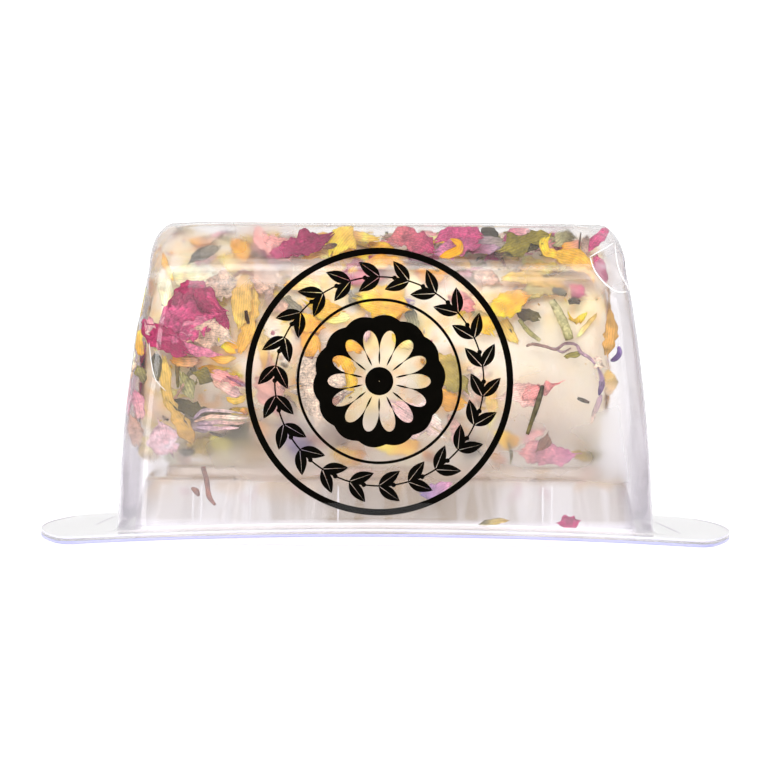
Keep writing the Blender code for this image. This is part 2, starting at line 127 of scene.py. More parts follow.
# What shows on the front of the log. Each row gives the CAD node that it stands for, or the fused log;
# its kind; its colour from end to end; how far it stands from the cheese (0) to the film (1); its
# crinkles' height; and its middle line as seen from the front: x, height, width
FRONT = (
    # Left third
    ("rose_petal_front", "rose", "magenta", "rose", 0.88, 0.7,
     ((-39.8, 37.2, 3.2), (-37.2, 38.8, 6.4), (-34.2, 40.2, 7.6), (-31.8, 40.6, 6.0), (-29.8, 40.4, 2.0))),
    ("rose_petal_front", "rose", "tan pink", "straw", 0.92, 0.8,
     ((-35.0, 35.8, 1.6), (-33.0, 36.6, 4.0), (-30.8, 36.8, 4.8), (-28.9, 36.4, 3.8), (-27.8, 35.8, 1.6))),
    ("rose_petal_front", "rose", "pale rose", "magenta", 0.94, 0.6,
     ((-36.6, 37.2, 1.4), (-34.6, 37.8, 3.2), (-32.4, 38.4, 3.0), (-30.4, 38.6, 1.4))),
    ("rose_petal_front", "rose", "wine", "deep rose", 0.96, 0.5,
     ((-38.4, 40.2, 1.4), (-37.2, 42.8, 3.2), (-35.2, 44.5, 3.4), (-33.2, 44.9, 2.8), (-31.8, 44.4, 1.2))),
    ("rose_petal_front", "rose", "deep rose", "wine", 1.0, 0.5,
     ((-34.4, 44.0, 1.8), (-32.4, 43.0, 3.2), (-30.4, 41.2, 2.8), (-28.9, 39.3, 2.0), (-28.1, 37.4, 1.0))),
    ("rose_petal_front", "rose", "magenta", "pale rose", 0.96, 0.4,
     ((-38.6, 36.6, 1.2), (-36.9, 35.0, 2.2), (-34.4, 33.9, 2.0), (-31.8, 33.4, 1.5), (-29.8, 33.2, 0.6))),
    ("rose_petal_front", "rose", "deep rose", "wine", 1.0, 0.6,
     ((-41.4, 38.4, 2.2), (-40.4, 36.7, 4.2), (-38.7, 35.2, 4.2), (-36.9, 34.0, 2.8), (-35.2, 33.2, 1.0))),
    ("", "rose", "deep rose", "rose", 0.95, 0.3,
     ((-43.3, 38.4, 0.9), (-42.2, 37.3, 2.6), (-40.6, 36.3, 3.4), (-38.8, 35.4, 2.2))),
    ("", "rose", "pale rose", "shell", 0.9, 0.2,
     ((-42.4, 39.6, 1.2), (-41.9, 37.8, 1.9), (-41.6, 36.4, 1.2))),
    ("", "rose", "rose", "rose", 0.95, 0.1, ((-43.2, 39.4, 0.5), (-42.9, 37.9, 0.8), (-42.9, 36.5, 0.4))),
    ("", "straw", "tan pink", "straw", 0.6, 0.4,
     ((-32.4, 44.8, 3.4), (-30.0, 45.6, 4.8), (-27.4, 45.6, 3.0))),
    ("", "marigold", "ochre", "dull yellow", 0.85, 0.3,
     ((-25.2, 47.6, 2.6), (-25.6, 44.6, 3.8), (-25.9, 41.0, 3.4), (-26.2, 38.0, 2.0))),
    ("", "stem", "brown", "bark", 0.9, 0.0, ((-27.2, 46.8, 0.5), (-25.6, 47.9, 0.8), (-23.6, 47.2, 0.5))),
    ("", "marigold", "dull yellow", "amber", 0.7, 0.3,
     ((-23.9, 45.0, 1.6), (-24.0, 41.0, 2.4), (-24.9, 37.0, 2.4), (-26.0, 33.6, 1.6))),
    ("", "seed", "umber", "umber", 0.9, 0.0, ((-25.0, 40.9, 0.6), (-24.8, 39.6, 1.0), (-24.5, 38.6, 0.5))),
    ("", "marigold", "bright", "orange", 0.7, 0.2,
     ((-29.6, 36.2, 1.6), (-28.2, 35.0, 2.6), (-26.6, 33.8, 1.8))),
    ("", "marigold", "orange", "dull yellow", 0.6, 0.2,
     ((-31.2, 32.8, 0.8), (-29.0, 32.2, 1.5), (-27.0, 32.6, 0.7))),
    ("", "leaf", "slate", "grey", 0.6, 0.5,
     ((-35.0, 49.4, 0.8), (-33.4, 50.6, 1.6), (-31.2, 51.4, 1.9), (-29.8, 52.2, 0.9))),
    ("", "marigold", "orange", "shell", 0.2, 0.2,
     ((-35.0, 53.2, 0.7), (-32.6, 53.3, 1.2), (-30.2, 53.7, 0.6))),
    ("", "marigold", "orange", "amber", 0.35, 0.3,
     ((-27.2, 53.2, 1.6), (-26.0, 51.6, 2.8), (-25.2, 49.8, 1.8))),
    ("", "marigold", "amber", "dull yellow", 0.6, 0.1,
     ((-39.7, 51.0, 0.5), (-39.2, 49.0, 1.1), (-38.0, 46.2, 0.6))),
    ("", "marigold", "cream", "pale yellow", 0.35, 0.3,
     ((-40.0, 47.8, 1.4), (-39.2, 44.6, 2.8), (-38.6, 41.4, 1.8))),
    ("", "marigold", "dull yellow", "amber", 0.6, 0.2,
     ((-43.8, 37.6, 1.2), (-43.9, 34.8, 1.9), (-43.6, 32.8, 1.0))),
    ("", "marigold", "pale yellow", "dull yellow", 0.5, 0.2,
     ((-44.4, 44.6, 1.0), (-44.6, 42.4, 2.0), (-44.8, 40.2, 1.0))),
    ("", "marigold", "dull yellow", "pale yellow", 0.7, 0.2,
     ((-45.4, 38.4, 1.0), (-45.5, 36.2, 1.8), (-45.6, 34.4, 1.0))),
    ("", "straw", "cream", "tan pink", 0.6, 0.2,
     ((-45.4, 34.0, 1.2), (-45.6, 31.6, 2.2), (-45.9, 29.0, 1.2))),
    ("", "pink", "soft pink", "pale rose", 0.6, 0.1,
     ((-46.0, 28.8, 1.2), (-46.2, 25.6, 2.4), (-46.2, 22.6, 1.4))),
    ("", "pink", "tan pink", "shell", 0.4, 0.2,
     ((-45.6, 22.2, 1.2), (-45.0, 19.4, 2.6), (-44.2, 16.8, 1.4))),
    ("", "marigold", "pale yellow", "straw", 0.2, 0.2,
     ((-43.4, 18.6, 1.2), (-42.2, 16.4, 2.8), (-40.4, 14.8, 1.6))),
    ("", "marigold", "cream", "shell", 0.1, 0.2,
     ((-39.8, 15.2, 1.2), (-37.0, 14.8, 2.0), (-34.4, 14.6, 1.0))),
    ("", "leaf", "leaf", "moss", 0.6, 0.2, ((-44.0, 31.0, 1.0), (-43.6, 29.6, 1.8), (-43.0, 28.0, 0.8))),
    ("", "leaf", "slate", "moss", 0.6, 0.2, ((-40.8, 33.2, 1.2), (-40.5, 31.0, 1.9), (-40.1, 28.6, 1.2))),
    ("marigold_petal_left", "marigold", "dull yellow", "ochre", 0.85, 0.25,
     ((-39.6, 32.6, 1.4), (-39.3, 29.0, 2.0), (-38.8, 25.6, 1.9), (-37.4, 22.4, 2.3), (-35.4, 19.4, 2.2),
      (-34.4, 17.6, 1.2))),
    ("", "marigold", "orange", "tan pink", 0.4, 0.2,
     ((-38.2, 32.4, 1.2), (-35.6, 31.8, 1.8), (-33.2, 32.2, 1.2))),
    ("", "leaf", "leaf", "sage", 0.7, 0.2, ((-36.4, 29.8, 1.2), (-35.4, 27.6, 2.2), (-34.4, 25.2, 1.0))),
    ("", "leaf", "olive", "moss", 0.75, 0.3, ((-34.2, 30.0, 1.4), (-32.6, 29.4, 2.2), (-31.0, 28.8, 1.2))),
    ("", "stem", "brown", "tan pink", 0.8, 0.0,
     ((-37.8, 25.0, 0.4), (-36.4, 27.2, 0.5), (-36.0, 28.0, 0.3))),
    ("cornflower_left", "leaf", "dark olive", "moss", 0.85, 0.3,
     ((-38.2, 24.8, 0.8), (-36.0, 24.0, 2.8), (-33.8, 23.4, 2.8), (-31.2, 23.0, 1.2), (-28.0, 22.8, 0.5))),
    ("cornflower_left", "cornflower", "moss", "mauve", 0.85, 0.3,
     ((-35.6, 23.0, 1.8), (-34.2, 21.2, 3.0), (-32.4, 20.2, 2.6), (-30.6, 20.8, 1.0))),
    ("cornflower_left", "cornflower", "mauve", "shell", 1.0, 0.2,
     ((-34.2, 21.8, 0.5), (-32.3, 23.3, 0.7), (-28.8, 23.1, 0.6), (-25.5, 22.7, 0.3))),
    ("cornflower_left", "cornflower", "tan pink", "shell", 1.0, 0.2,
     ((-34.0, 21.3, 0.5), (-30.9, 22.2, 0.7), (-27.6, 22.0, 0.7), (-24.6, 21.9, 0.3))),
    ("cornflower_left", "cornflower", "mauve", "tan pink", 1.0, 0.2,
     ((-33.6, 20.8, 0.5), (-30.6, 21.1, 0.8), (-27.4, 21.0, 0.6), (-25.0, 21.0, 0.3))),
    ("cornflower_left", "cornflower", "mauve", "blush", 1.0, 0.2,
     ((-33.6, 20.2, 0.5), (-31.0, 20.1, 0.8), (-28.2, 20.1, 0.6), (-26.2, 20.2, 0.3))),
    ("", "stem", "umber", "moss", 0.9, 0.0, ((-31.4, 19.4, 0.4), (-28.9, 18.8, 0.7), (-26.6, 19.4, 0.3))),
    ("pink_petal_left", "pink", "salmon", "coral", 0.9, 0.3,
     ((-31.2, 30.0, 1.2), (-29.2, 29.2, 2.4), (-27.0, 28.4, 2.2), (-25.0, 27.7, 0.9))),
    ("pink_petal_left", "pink", "tan pink", "blush", 0.85, 0.4,
     ((-30.6, 28.6, 1.2), (-28.6, 27.2, 2.2), (-26.2, 26.2, 1.6))),
    ("", "stem", "wine", "mauve", 0.95, 0.0, ((-28.4, 29.3, 0.3), (-26.4, 28.3, 0.6), (-24.6, 27.5, 0.5))),
    ("", "marigold", "yellow", "dull yellow", 0.8, 0.2,
     ((-28.4, 25.4, 0.8), (-26.6, 25.1, 1.5), (-25.0, 25.8, 0.8))),
    ("", "seed", "orange", "bark", 0.8, 0.0, ((-25.8, 23.6, 0.8), (-25.2, 23.1, 1.0), (-24.8, 22.6, 0.6))),
    ("", "pink", "soft pink", "soft pink", 0.7, 0.12,
     ((-40.4, 21.2, 1.4), (-39.4, 18.2, 3.8), (-38.0, 15.4, 2.2))),
    ("", "pink", "pale rose", "blush", 0.6, 0.2,
     ((-44.8, 26.8, 1.0), (-44.0, 24.6, 1.8), (-43.6, 21.6, 1.0))),
    ("", "leaf", "dark olive", "moss", 0.7, 0.2,
     ((-27.2, 20.6, 1.4), (-26.0, 19.6, 2.8), (-24.8, 18.6, 1.4))),
    ("", "marigold", "lime", "lime", 0.45, 0.2,
     ((-31.0, 18.4, 1.4), (-29.6, 17.6, 2.6), (-27.4, 17.0, 1.6))),
    ("", "marigold", "pale yellow", "cream", 0.2, 0.2,
     ((-31.0, 15.8, 1.2), (-28.6, 15.2, 2.4), (-26.4, 15.2, 1.4))),
    ("", "leaf", "grey", "moss", 0.2, 0.2, ((-36.6, 15.8, 0.8), (-35.4, 15.6, 1.3), (-34.2, 15.8, 0.8))),
    ("", "marigold", "pale yellow", "cream", 0.05, 0.2,
     ((-38.4, 47.6, 2.4), (-34.6, 47.0, 4.6), (-30.4, 47.6, 2.8))),
    ("", "marigold", "dull yellow", "pale yellow", 0.05, 0.2,
     ((-29.8, 50.4, 1.4), (-26.8, 49.4, 3.0), (-23.4, 49.0, 1.6))),
    ("", "marigold", "dull yellow", "olive", 0.1, 0.2,
     ((-35.4, 17.6, 1.6), (-32.6, 16.8, 3.2), (-29.2, 17.4, 2.0))),
    ("", "leaf", "olive", "leaf", 0.15, 0.2, ((-28.8, 18.8, 1.4), (-26.4, 18.2, 2.8), (-23.8, 18.8, 1.6))),
    ("", "marigold", "dull yellow", "ochre", 0.1, 0.2,
     ((-25.6, 16.2, 1.4), (-22.8, 15.6, 2.6), (-20.0, 15.8, 1.4))),
    # Top edge
    ("rose_petal_top_left", "pink", "salmon", "salmon", 0.8, 0.3,
     ((-23.0, 55.4, 0.9), (-22.2, 53.4, 3.2), (-19.8, 52.0, 4.2), (-16.8, 52.2, 3.0))),
    ("rose_petal_top_left", "rose", "rose", "wine", 0.9, 0.5,
     ((-20.8, 50.8, 1.2), (-17.6, 51.6, 3.0), (-14.4, 52.7, 3.6), (-11.8, 53.6, 2.6), (-9.8, 54.4, 1.0))),
    ("marigold_petal_top", "marigold", "dull yellow", "yellow", 0.8, 0.4,
     ((-6.2, 56.0, 1.4), (-7.6, 54.4, 4.4), (-9.0, 52.4, 3.4), (-9.8, 50.8, 1.4))),
    ("", "marigold", "tan pink", "yellow", 0.5, 0.3,
     ((-8.0, 55.8, 0.8), (-5.0, 54.0, 1.8), (-1.6, 53.6, 0.9))),
    ("", "seed", "bark", "umber", 0.8, 0.0, ((-11.4, 51.9, 0.8), (-9.9, 52.1, 1.3), (-9.0, 52.5, 0.7))),
    ("", "marigold", "orange", "pale yellow", 0.5, 0.3,
     ((-14.6, 50.2, 1.0), (-11.6, 51.2, 2.2), (-10.0, 50.2, 1.2))),
    ("rose_petal_top_middle", "rose", "coral", "rose", 0.8, 0.45,
     ((0.6, 53.6, 1.4), (3.2, 53.8, 3.6), (6.0, 53.0, 3.8), (8.4, 51.8, 2.0))),
    ("rose_petal_top_right", "rose", "magenta", "magenta", 0.8, 0.4,
     ((9.0, 53.4, 1.6), (11.6, 54.4, 2.8), (14.4, 54.8, 3.0), (16.6, 54.4, 2.2))),
    ("rose_petal_top_right", "rose", "orchid", "magenta", 0.85, 0.4,
     ((8.8, 51.6, 1.6), (11.2, 52.0, 3.2), (13.6, 52.4, 2.8), (16.2, 53.0, 1.4))),
    ("", "marigold", "amber", "orange", 1.0, 0.1,
     ((11.4, 53.8, 0.5), (12.8, 53.0, 1.1), (12.7, 51.9, 1.3), (11.4, 51.2, 1.2), (9.6, 50.6, 0.7))),
    ("", "pink", "mauve", "grey", 0.5, 0.3, ((15.0, 52.6, 1.2), (18.0, 52.9, 1.8), (21.0, 52.4, 1.2))),
    ("", "pink", "wine", "mauve", 0.6, 0.3, ((14.6, 51.6, 1.0), (17.6, 51.9, 1.5), (20.0, 52.2, 0.9))),
    ("", "leaf", "slate", "slate", 0.5, 0.2, ((16.8, 54.2, 1.2), (18.3, 54.8, 2.0), (19.8, 54.0, 1.2))),
    ("", "rose", "magenta", "blush", 0.8, 0.3, ((20.8, 53.6, 1.4), (22.8, 54.8, 2.2), (25.4, 55.4, 1.0))),
    ("herb_leaf_top", "leaf", "olive", "olive", 0.85, 0.4,
     ((20.4, 51.8, 1.2), (22.8, 52.6, 3.4), (25.4, 53.9, 3.6), (27.6, 54.6, 2.4), (28.8, 54.6, 0.8))),
    ("herb_leaf_top", "leaf", "moss", "dark olive", 0.8, 0.2,
     ((20.6, 50.8, 0.8), (23.6, 51.4, 1.4), (26.4, 52.6, 1.2), (28.4, 53.6, 0.6))),
    ("marigold_petal_top_right", "marigold", "yellow", "amber", 0.85, 0.3,
     ((28.9, 54.6, 0.7), (27.9, 53.2, 1.4), (28.4, 51.6, 1.5), (30.8, 50.8, 2.0), (33.6, 50.2, 3.0),
      (35.8, 48.6, 2.8), (36.6, 46.8, 1.2))),
    ("", "leaf", "sage", "moss", 0.5, 0.3, ((29.6, 53.4, 1.8), (31.4, 54.4, 3.0), (33.2, 54.0, 2.2))),
    ("", "marigold", "orange", "salmon", 0.6, 0.2,
     ((31.4, 52.4, 1.4), (33.4, 52.8, 2.0), (34.4, 53.4, 1.2))),
    ("", "stem", "umber", "umber", 0.8, 0.0, ((34.5, 55.0, 0.2), (34.3, 53.4, 0.4), (34.2, 51.8, 0.2))),
    ("", "straw", "dark straw", "straw", 0.6, 0.2,
     ((35.6, 54.6, 0.8), (35.4, 52.8, 1.4), (35.8, 51.2, 0.8))),
    ("rose_petal_corner", "rose", "magenta", "magenta", 0.9, 0.3,
     ((36.0, 51.8, 0.9), (37.2, 53.6, 1.9), (38.6, 55.0, 1.8), (39.4, 56.2, 0.8))),
    ("rose_petal_corner", "rose", "rose", "deep rose", 0.8, 0.3,
     ((36.8, 51.0, 1.2), (38.0, 49.4, 2.2), (38.8, 47.6, 1.8), (38.9, 45.9, 0.8))),
    # Middle third, beneath the print
    ("", "straw", "tan pink", "straw", 0.45, 0.4,
     ((-24.2, 45.2, 3.0), (-21.2, 46.6, 4.2), (-18.0, 46.4, 3.0))),
    ("", "straw", "dark straw", "tan pink", 0.5, 0.3,
     ((-21.8, 44.2, 2.0), (-19.8, 42.6, 3.0), (-18.6, 40.6, 2.0))),
    ("", "leaf", "moss", "grey", 0.5, 0.3, ((-18.8, 42.8, 1.4), (-17.0, 41.8, 2.6), (-15.2, 40.6, 1.6))),
    ("", "marigold", "orange", "pale yellow", 0.5, 0.3,
     ((-18.0, 45.8, 1.4), (-14.6, 45.6, 2.4), (-11.8, 44.6, 1.6))),
    ("", "marigold", "yellow", "amber", 0.6, 0.3,
     ((-14.0, 42.8, 1.8), (-11.0, 41.4, 3.2), (-8.2, 41.2, 2.2))),
    ("", "marigold", "orange", "orange", 0.6, 0.3,
     ((-16.6, 40.0, 1.6), (-14.0, 38.8, 3.0), (-11.4, 38.4, 2.2))),
    ("", "marigold", "yellow", "pale yellow", 0.5, 0.3,
     ((-12.4, 40.2, 1.4), (-9.4, 39.6, 2.2), (-6.6, 40.0, 1.4))),
    ("", "marigold", "orange", "amber", 0.5, 0.3,
     ((-14.8, 37.2, 1.8), (-13.2, 34.8, 2.8), (-13.4, 32.0, 1.8))),
    ("dried_flower_middle", "straw", "straw", "straw", 0.95, 0.8,
     ((-16.2, 27.8, 3.6), (-13.8, 28.2, 8.2), (-11.0, 28.0, 9.0), (-8.4, 27.6, 6.4), (-7.0, 27.4, 2.6))),
    ("dried_flower_middle", "straw", "dark straw", "bark", 0.95, 0.3,
     ((-15.2, 31.8, 0.8), (-13.6, 32.4, 1.2), (-12.0, 32.2, 0.7))),
    ("dried_flower_middle", "straw", "bark", "dark straw", 1.0, 0.3,
     ((-10.2, 24.8, 1.0), (-8.8, 25.2, 1.6), (-7.6, 26.2, 0.8))),
    ("marigold_petal_middle", "marigold", "orange", "bright", 0.7, 0.3,
     ((-9.8, 33.8, 1.8), (-8.2, 31.8, 4.2), (-7.0, 28.8, 3.8), (-7.2, 26.0, 1.8))),
    ("", "marigold", "yellow", "orange", 0.5, 0.3,
     ((-10.0, 35.4, 1.6), (-6.8, 35.0, 2.8), (-4.2, 34.0, 1.8))),
    ("dried_flower_left", "straw", "tan pink", "salmon", 0.8, 0.5,
     ((-20.4, 31.6, 1.4), (-20.0, 29.6, 3.8), (-20.6, 27.4, 5.0), (-20.8, 25.0, 3.6), (-19.8, 23.6, 1.2))),
    ("", "straw", "dark straw", "straw", 0.5, 0.3,
     ((-17.8, 26.0, 1.2), (-17.6, 23.6, 2.6), (-18.4, 21.4, 1.4))),
    ("", "pink", "mauve", "lavender", 0.3, 0.2,
     ((-19.0, 20.6, 1.6), (-16.6, 18.8, 3.6), (-15.6, 16.6, 2.2))),
    ("", "cornflower", "violet", "deep violet", 0.4, 0.3,
     ((-17.4, 17.0, 1.6), (-15.0, 16.2, 3.2), (-12.8, 17.4, 2.0))),
    ("", "rose", "rust", "tan pink", 0.4, 0.3,
     ((-14.4, 18.6, 1.0), (-12.2, 18.0, 2.0), (-10.2, 16.8, 1.4))),
    ("", "marigold", "yellow", "orange", 0.3, 0.2,
     ((-9.6, 15.8, 1.6), (-6.6, 15.2, 2.4), (-3.8, 15.8, 1.6))),
    ("", "marigold", "orange", "tan pink", 0.3, 0.2,
     ((-24.0, 21.6, 1.2), (-22.2, 19.8, 2.4), (-21.0, 18.0, 1.4))),
    ("marigold_petal_upper", "marigold", "yellow", "orange", 0.6, 0.3,
     ((-5.4, 43.6, 2.2), (-2.0, 43.0, 4.8), (1.6, 42.2, 4.4), (4.0, 41.6, 2.0))),
    ("", "marigold", "orange", "amber", 0.6, 0.3, ((-4.0, 49.4, 1.4), (-0.4, 49.8, 2.2), (3.2, 49.4, 1.4))),
    ("", "pink", "shell", "blush", 0.4, 0.2, ((-3.6, 40.4, 0.8), (-3.4, 38.0, 1.6), (-3.6, 35.8, 0.8))),
    ("", "leaf", "grey", "moss", 0.5, 0.3, ((-6.6, 44.8, 1.6), (-5.6, 43.4, 2.8), (-4.2, 42.0, 1.6))),
    ("", "leaf", "slate", "sage", 0.45, 0.3, ((4.0, 41.6, 1.4), (4.8, 38.8, 2.6), (5.0, 35.4, 1.6))),
    ("", "marigold", "yellow", "pale yellow", 0.5, 0.2,
     ((1.2, 37.2, 1.2), (3.0, 35.8, 2.4), (4.8, 34.6, 1.4))),
    ("", "rose", "salmon", "coral", 0.6, 0.3, ((11.4, 44.0, 1.8), (13.4, 43.0, 3.4), (15.6, 41.8, 2.2))),
    ("", "leaf", "sage", "dull yellow", 0.4, 0.2,
     ((15.0, 40.8, 1.2), (16.4, 40.0, 2.0), (18.0, 39.4, 1.2))),
    ("marigold_petal_centre", "marigold", "dull yellow", "olive", 0.6, 0.4,
     ((6.8, 33.2, 1.8), (9.4, 31.2, 4.2), (12.0, 29.2, 4.6), (14.2, 27.0, 2.4))),
    ("", "marigold", "amber", "orange", 0.5, 0.3, ((8.6, 26.8, 1.6), (11.6, 25.2, 3.0), (14.2, 24.6, 1.8))),
    ("", "marigold", "orange", "pale yellow", 0.35, 0.2,
     ((18.2, 28.4, 1.0), (18.9, 24.6, 1.8), (18.6, 20.2, 1.4))),
    ("pink_petal_low", "pink", "blush", "shell", 0.9, 0.4,
     ((1.6, 24.4, 2.2), (4.0, 23.0, 5.4), (7.0, 21.4, 6.0), (9.6, 19.8, 2.8))),
    ("", "marigold", "yellow", "orange", 0.8, 0.3, ((-2.6, 17.8, 1.6), (1.6, 16.9, 3.4), (6.0, 17.4, 1.8))),
    ("", "marigold", "orange", "rust", 0.6, 0.2, ((6.8, 16.2, 0.9), (8.0, 15.2, 1.7), (9.4, 14.9, 0.9))),
    ("", "pink", "blush", "magenta", 0.4, 0.2, ((-8.0, 13.6, 1.2), (-4.4, 12.6, 1.8), (-1.4, 12.4, 1.2))),
    ("", "leaf", "grey", "moss", 0.2, 0.2, ((13.8, 18.0, 1.4), (15.0, 16.6, 2.8), (16.6, 15.6, 1.4))),
    ("", "rose", "tan pink", "blush", 0.4, 0.3, ((11.2, 22.4, 1.2), (12.6, 20.2, 2.2), (12.2, 18.0, 1.2))),
    # Right third
    ("", "marigold", "dull yellow", "ochre", 0.4, 0.4,
     ((20.6, 46.8, 1.6), (25.0, 47.0, 2.4), (30.0, 45.8, 2.0), (32.0, 45.0, 1.0))),
    ("", "leaf", "leaf", "dull yellow", 0.4, 0.3,
     ((23.6, 44.4, 1.8), (27.2, 44.4, 2.6), (30.8, 44.6, 1.8))),
    ("", "seed", "dark olive", "moss", 0.6, 0.0, ((29.6, 44.8, 1.0), (30.8, 44.4, 1.6), (32.0, 44.0, 0.9))),
    ("marigold_petal_right", "marigold", "bright", "orange", 0.85, 0.4,
     ((18.6, 41.2, 2.0), (20.8, 42.0, 4.2), (23.2, 43.0, 3.6), (25.2, 43.8, 1.8))),
    ("", "marigold", "orange", "bright", 0.7, 0.3,
     ((15.6, 39.4, 1.4), (17.4, 38.8, 3.0), (18.8, 37.2, 2.0))),
    ("", "pink", "coral", "rose", 0.6, 0.3, ((32.6, 45.9, 1.1), (33.8, 45.0, 2.2), (35.2, 44.2, 1.2))),
    ("", "seed", "dark olive", "umber", 0.7, 0.0,
     ((32.4, 42.6, 0.8), (33.4, 42.9, 1.4), (34.4, 42.6, 0.7))),
    ("", "leaf", "umber", "moss", 0.8, 0.3, ((23.4, 41.2, 1.1), (25.0, 40.6, 2.5), (27.2, 39.8, 1.7))),
    ("herb_stem_right", "stem", "pale sage", "sage", 0.8, 0.0,
     ((29.4, 42.8, 1.6), (30.6, 40.7, 2.2), (31.8, 38.3, 2.3), (32.6, 36.1, 2.0))),
    ("", "stem", "leaf", "sage", 0.8, 0.0, ((23.6, 39.6, 0.6), (25.4, 37.4, 0.9), (27.4, 35.9, 0.7))),
    ("", "marigold", "pale yellow", "dull yellow", 0.4, 0.2,
     ((34.0, 36.6, 0.5), (35.6, 38.6, 1.0), (37.4, 40.6, 0.5))),
    ("", "marigold", "ochre", "ochre", 0.75, 0.2,
     ((39.7, 41.4, 0.6), (39.9, 38.4, 2.0), (39.6, 35.6, 2.1), (39.2, 33.6, 1.0))),
    ("", "cornflower", "violet", "deep violet", 0.8, 0.2,
     ((41.2, 35.0, 0.5), (41.5, 33.9, 0.8), (40.9, 32.9, 0.8), (39.9, 32.4, 0.4))),
    ("", "marigold", "dull yellow", "straw", 0.1, 0.2,
     ((39.2, 30.8, 1.0), (40.0, 28.6, 2.2), (39.2, 26.2, 0.9))),
    ("", "stem", "dark straw", "mauve", 0.9, 0.0,
     ((24.9, 34.9, 0.4), (26.0, 35.3, 0.8), (28.2, 34.9, 0.7), (30.2, 34.4, 0.8), (31.8, 35.4, 0.6),
      (33.8, 35.2, 0.7), (34.6, 33.9, 0.6), (36.2, 32.9, 0.6), (37.2, 31.8, 0.4))),
    ("", "stem", "mauve", "dark straw", 0.9, 0.0,
     ((30.0, 34.5, 0.3), (31.4, 33.9, 0.5), (32.9, 34.6, 0.3))),
    ("", "straw", "shell", "straw", 0.9, 0.2, ((36.4, 33.0, 0.8), (37.6, 31.8, 1.8), (38.8, 31.4, 0.8))),
    ("", "leaf", "olive", "leaf", 0.9, 0.0, ((31.8, 33.0, 0.6), (33.4, 33.4, 0.9), (34.8, 33.8, 0.5))),
    ("", "cornflower", "mauve", "deep violet", 0.95, 0.1,
     ((37.7, 31.2, 0.4), (38.4, 29.4, 0.7), (38.3, 27.6, 0.9), (37.9, 26.2, 0.4))),
    ("", "cornflower", "mauve", "straw", 0.9, 0.1,
     ((38.4, 26.4, 0.5), (37.8, 24.8, 1.0), (37.0, 22.8, 0.6), (36.4, 20.6, 0.2))),
    ("", "seed", "slate", "umber", 0.8, 0.0, ((34.1, 25.8, 0.5), (35.2, 25.4, 0.8), (36.2, 25.0, 0.5))),
    ("pink_petal_right", "pink", "shell", "coral", 0.9, 0.5,
     ((20.4, 26.0, 2.2), (23.0, 26.3, 3.6), (25.8, 26.7, 3.6), (28.4, 27.6, 2.6), (30.6, 28.5, 1.0))),
    ("pink_petal_right", "pink", "salmon", "coral", 0.95, 0.4,
     ((24.4, 25.6, 0.9), (26.0, 26.6, 1.9), (27.6, 27.4, 1.1))),
    ("", "stem", "slate", "moss", 1.0, 0.0,
     ((27.9, 28.0, 0.9), (27.2, 25.4, 1.4), (26.0, 21.8, 1.1), (25.2, 19.4, 0.9))),
    ("pink_petal_low_right", "pink", "salmon", "orchid", 0.75, 0.3,
     ((23.6, 16.2, 1.8), (26.6, 16.0, 3.6), (30.4, 15.6, 3.6), (34.0, 15.8, 1.6))),
    ("pink_petal_low_right", "pink", "blush", "salmon", 0.8, 0.3,
     ((24.6, 17.6, 0.9), (26.0, 19.0, 1.9), (28.2, 19.6, 1.0))),
    ("", "leaf", "brown", "bark", 0.8, 0.2, ((28.8, 19.2, 1.2), (28.4, 17.8, 1.9), (27.2, 16.6, 0.9))),
    ("", "pink", "salmon", "blush", 0.5, 0.2, ((25.0, 17.6, 0.8), (26.4, 19.2, 1.2), (28.2, 20.2, 0.7))),
    ("", "marigold", "dull yellow", "olive", 0.3, 0.2,
     ((33.4, 16.0, 1.2), (36.0, 15.4, 2.6), (38.4, 15.8, 1.4))),
    ("", "marigold", "bright", "amber", 0.7, 0.3,
     ((19.6, 19.6, 1.6), (21.6, 18.0, 3.2), (23.6, 18.6, 1.8))),
    ("", "stem", "moss", "olive", 0.8, 0.0, ((21.8, 17.8, 0.4), (22.4, 15.8, 0.6), (22.2, 14.0, 0.3))),
    ("", "marigold", "amber", "tan pink", 0.3, 0.2,
     ((18.6, 16.6, 1.2), (19.8, 15.0, 2.0), (21.4, 14.6, 1.2))),
)

# Large petals elsewhere on the log's side: node, kind, colours, place along X, degrees from the
# top, length, width, turn
ELSEWHERE = (
    ("rose_petal_back_left", "rose", "wine", "rose", -27.0, 270, 13.0, 11.5, 40),
    ("rose_petal_back_right", "rose", "magenta", "coral", 22.0, 292, 12.0, 10.5, -30),
    ("pink_petal_back", "pink", "salmon", "blush", -6.0, 255, 12.0, 8.0, 12),
    ("marigold_petal_back_left", "marigold", "yellow", "orange", -15.0, 300, 5.0, 12.0, 35),
    ("marigold_petal_back_right", "marigold", "bright", "amber", 9.0, 272, 12.0, 5.0, -15),
    ("cornflower_back", "cornflower", "violet", "lavender", 32.5, 262, 9.5, 5.0, 60),
    ("herb_leaf_back", "leaf", "olive", "moss", 8.0, 320, 10.0, 5.5, 25),
)

# Large petals on its ends: node, kind, colours, end, place across, height, length, width, turn
ON_ENDS = (
    ("marigold_petal_end_upper", "marigold", "amber", "ochre", 1, -15.5, 41.0, 4.0, 9.5, 6),
    ("marigold_petal_end_lower", "marigold", "ochre", "amber", 1, -13.0, 27.5, 5.0, 7.5, -12),
    ("rose_petal_end", "rose", "rose", "tan pink", 1, 4.0, 35.0, 11.0, 10.0, 25),
    ("pink_petal_end", "pink", "pale rose", "blush", -1, -7.0, 25.0, 9.0, 7.0, -35),
)

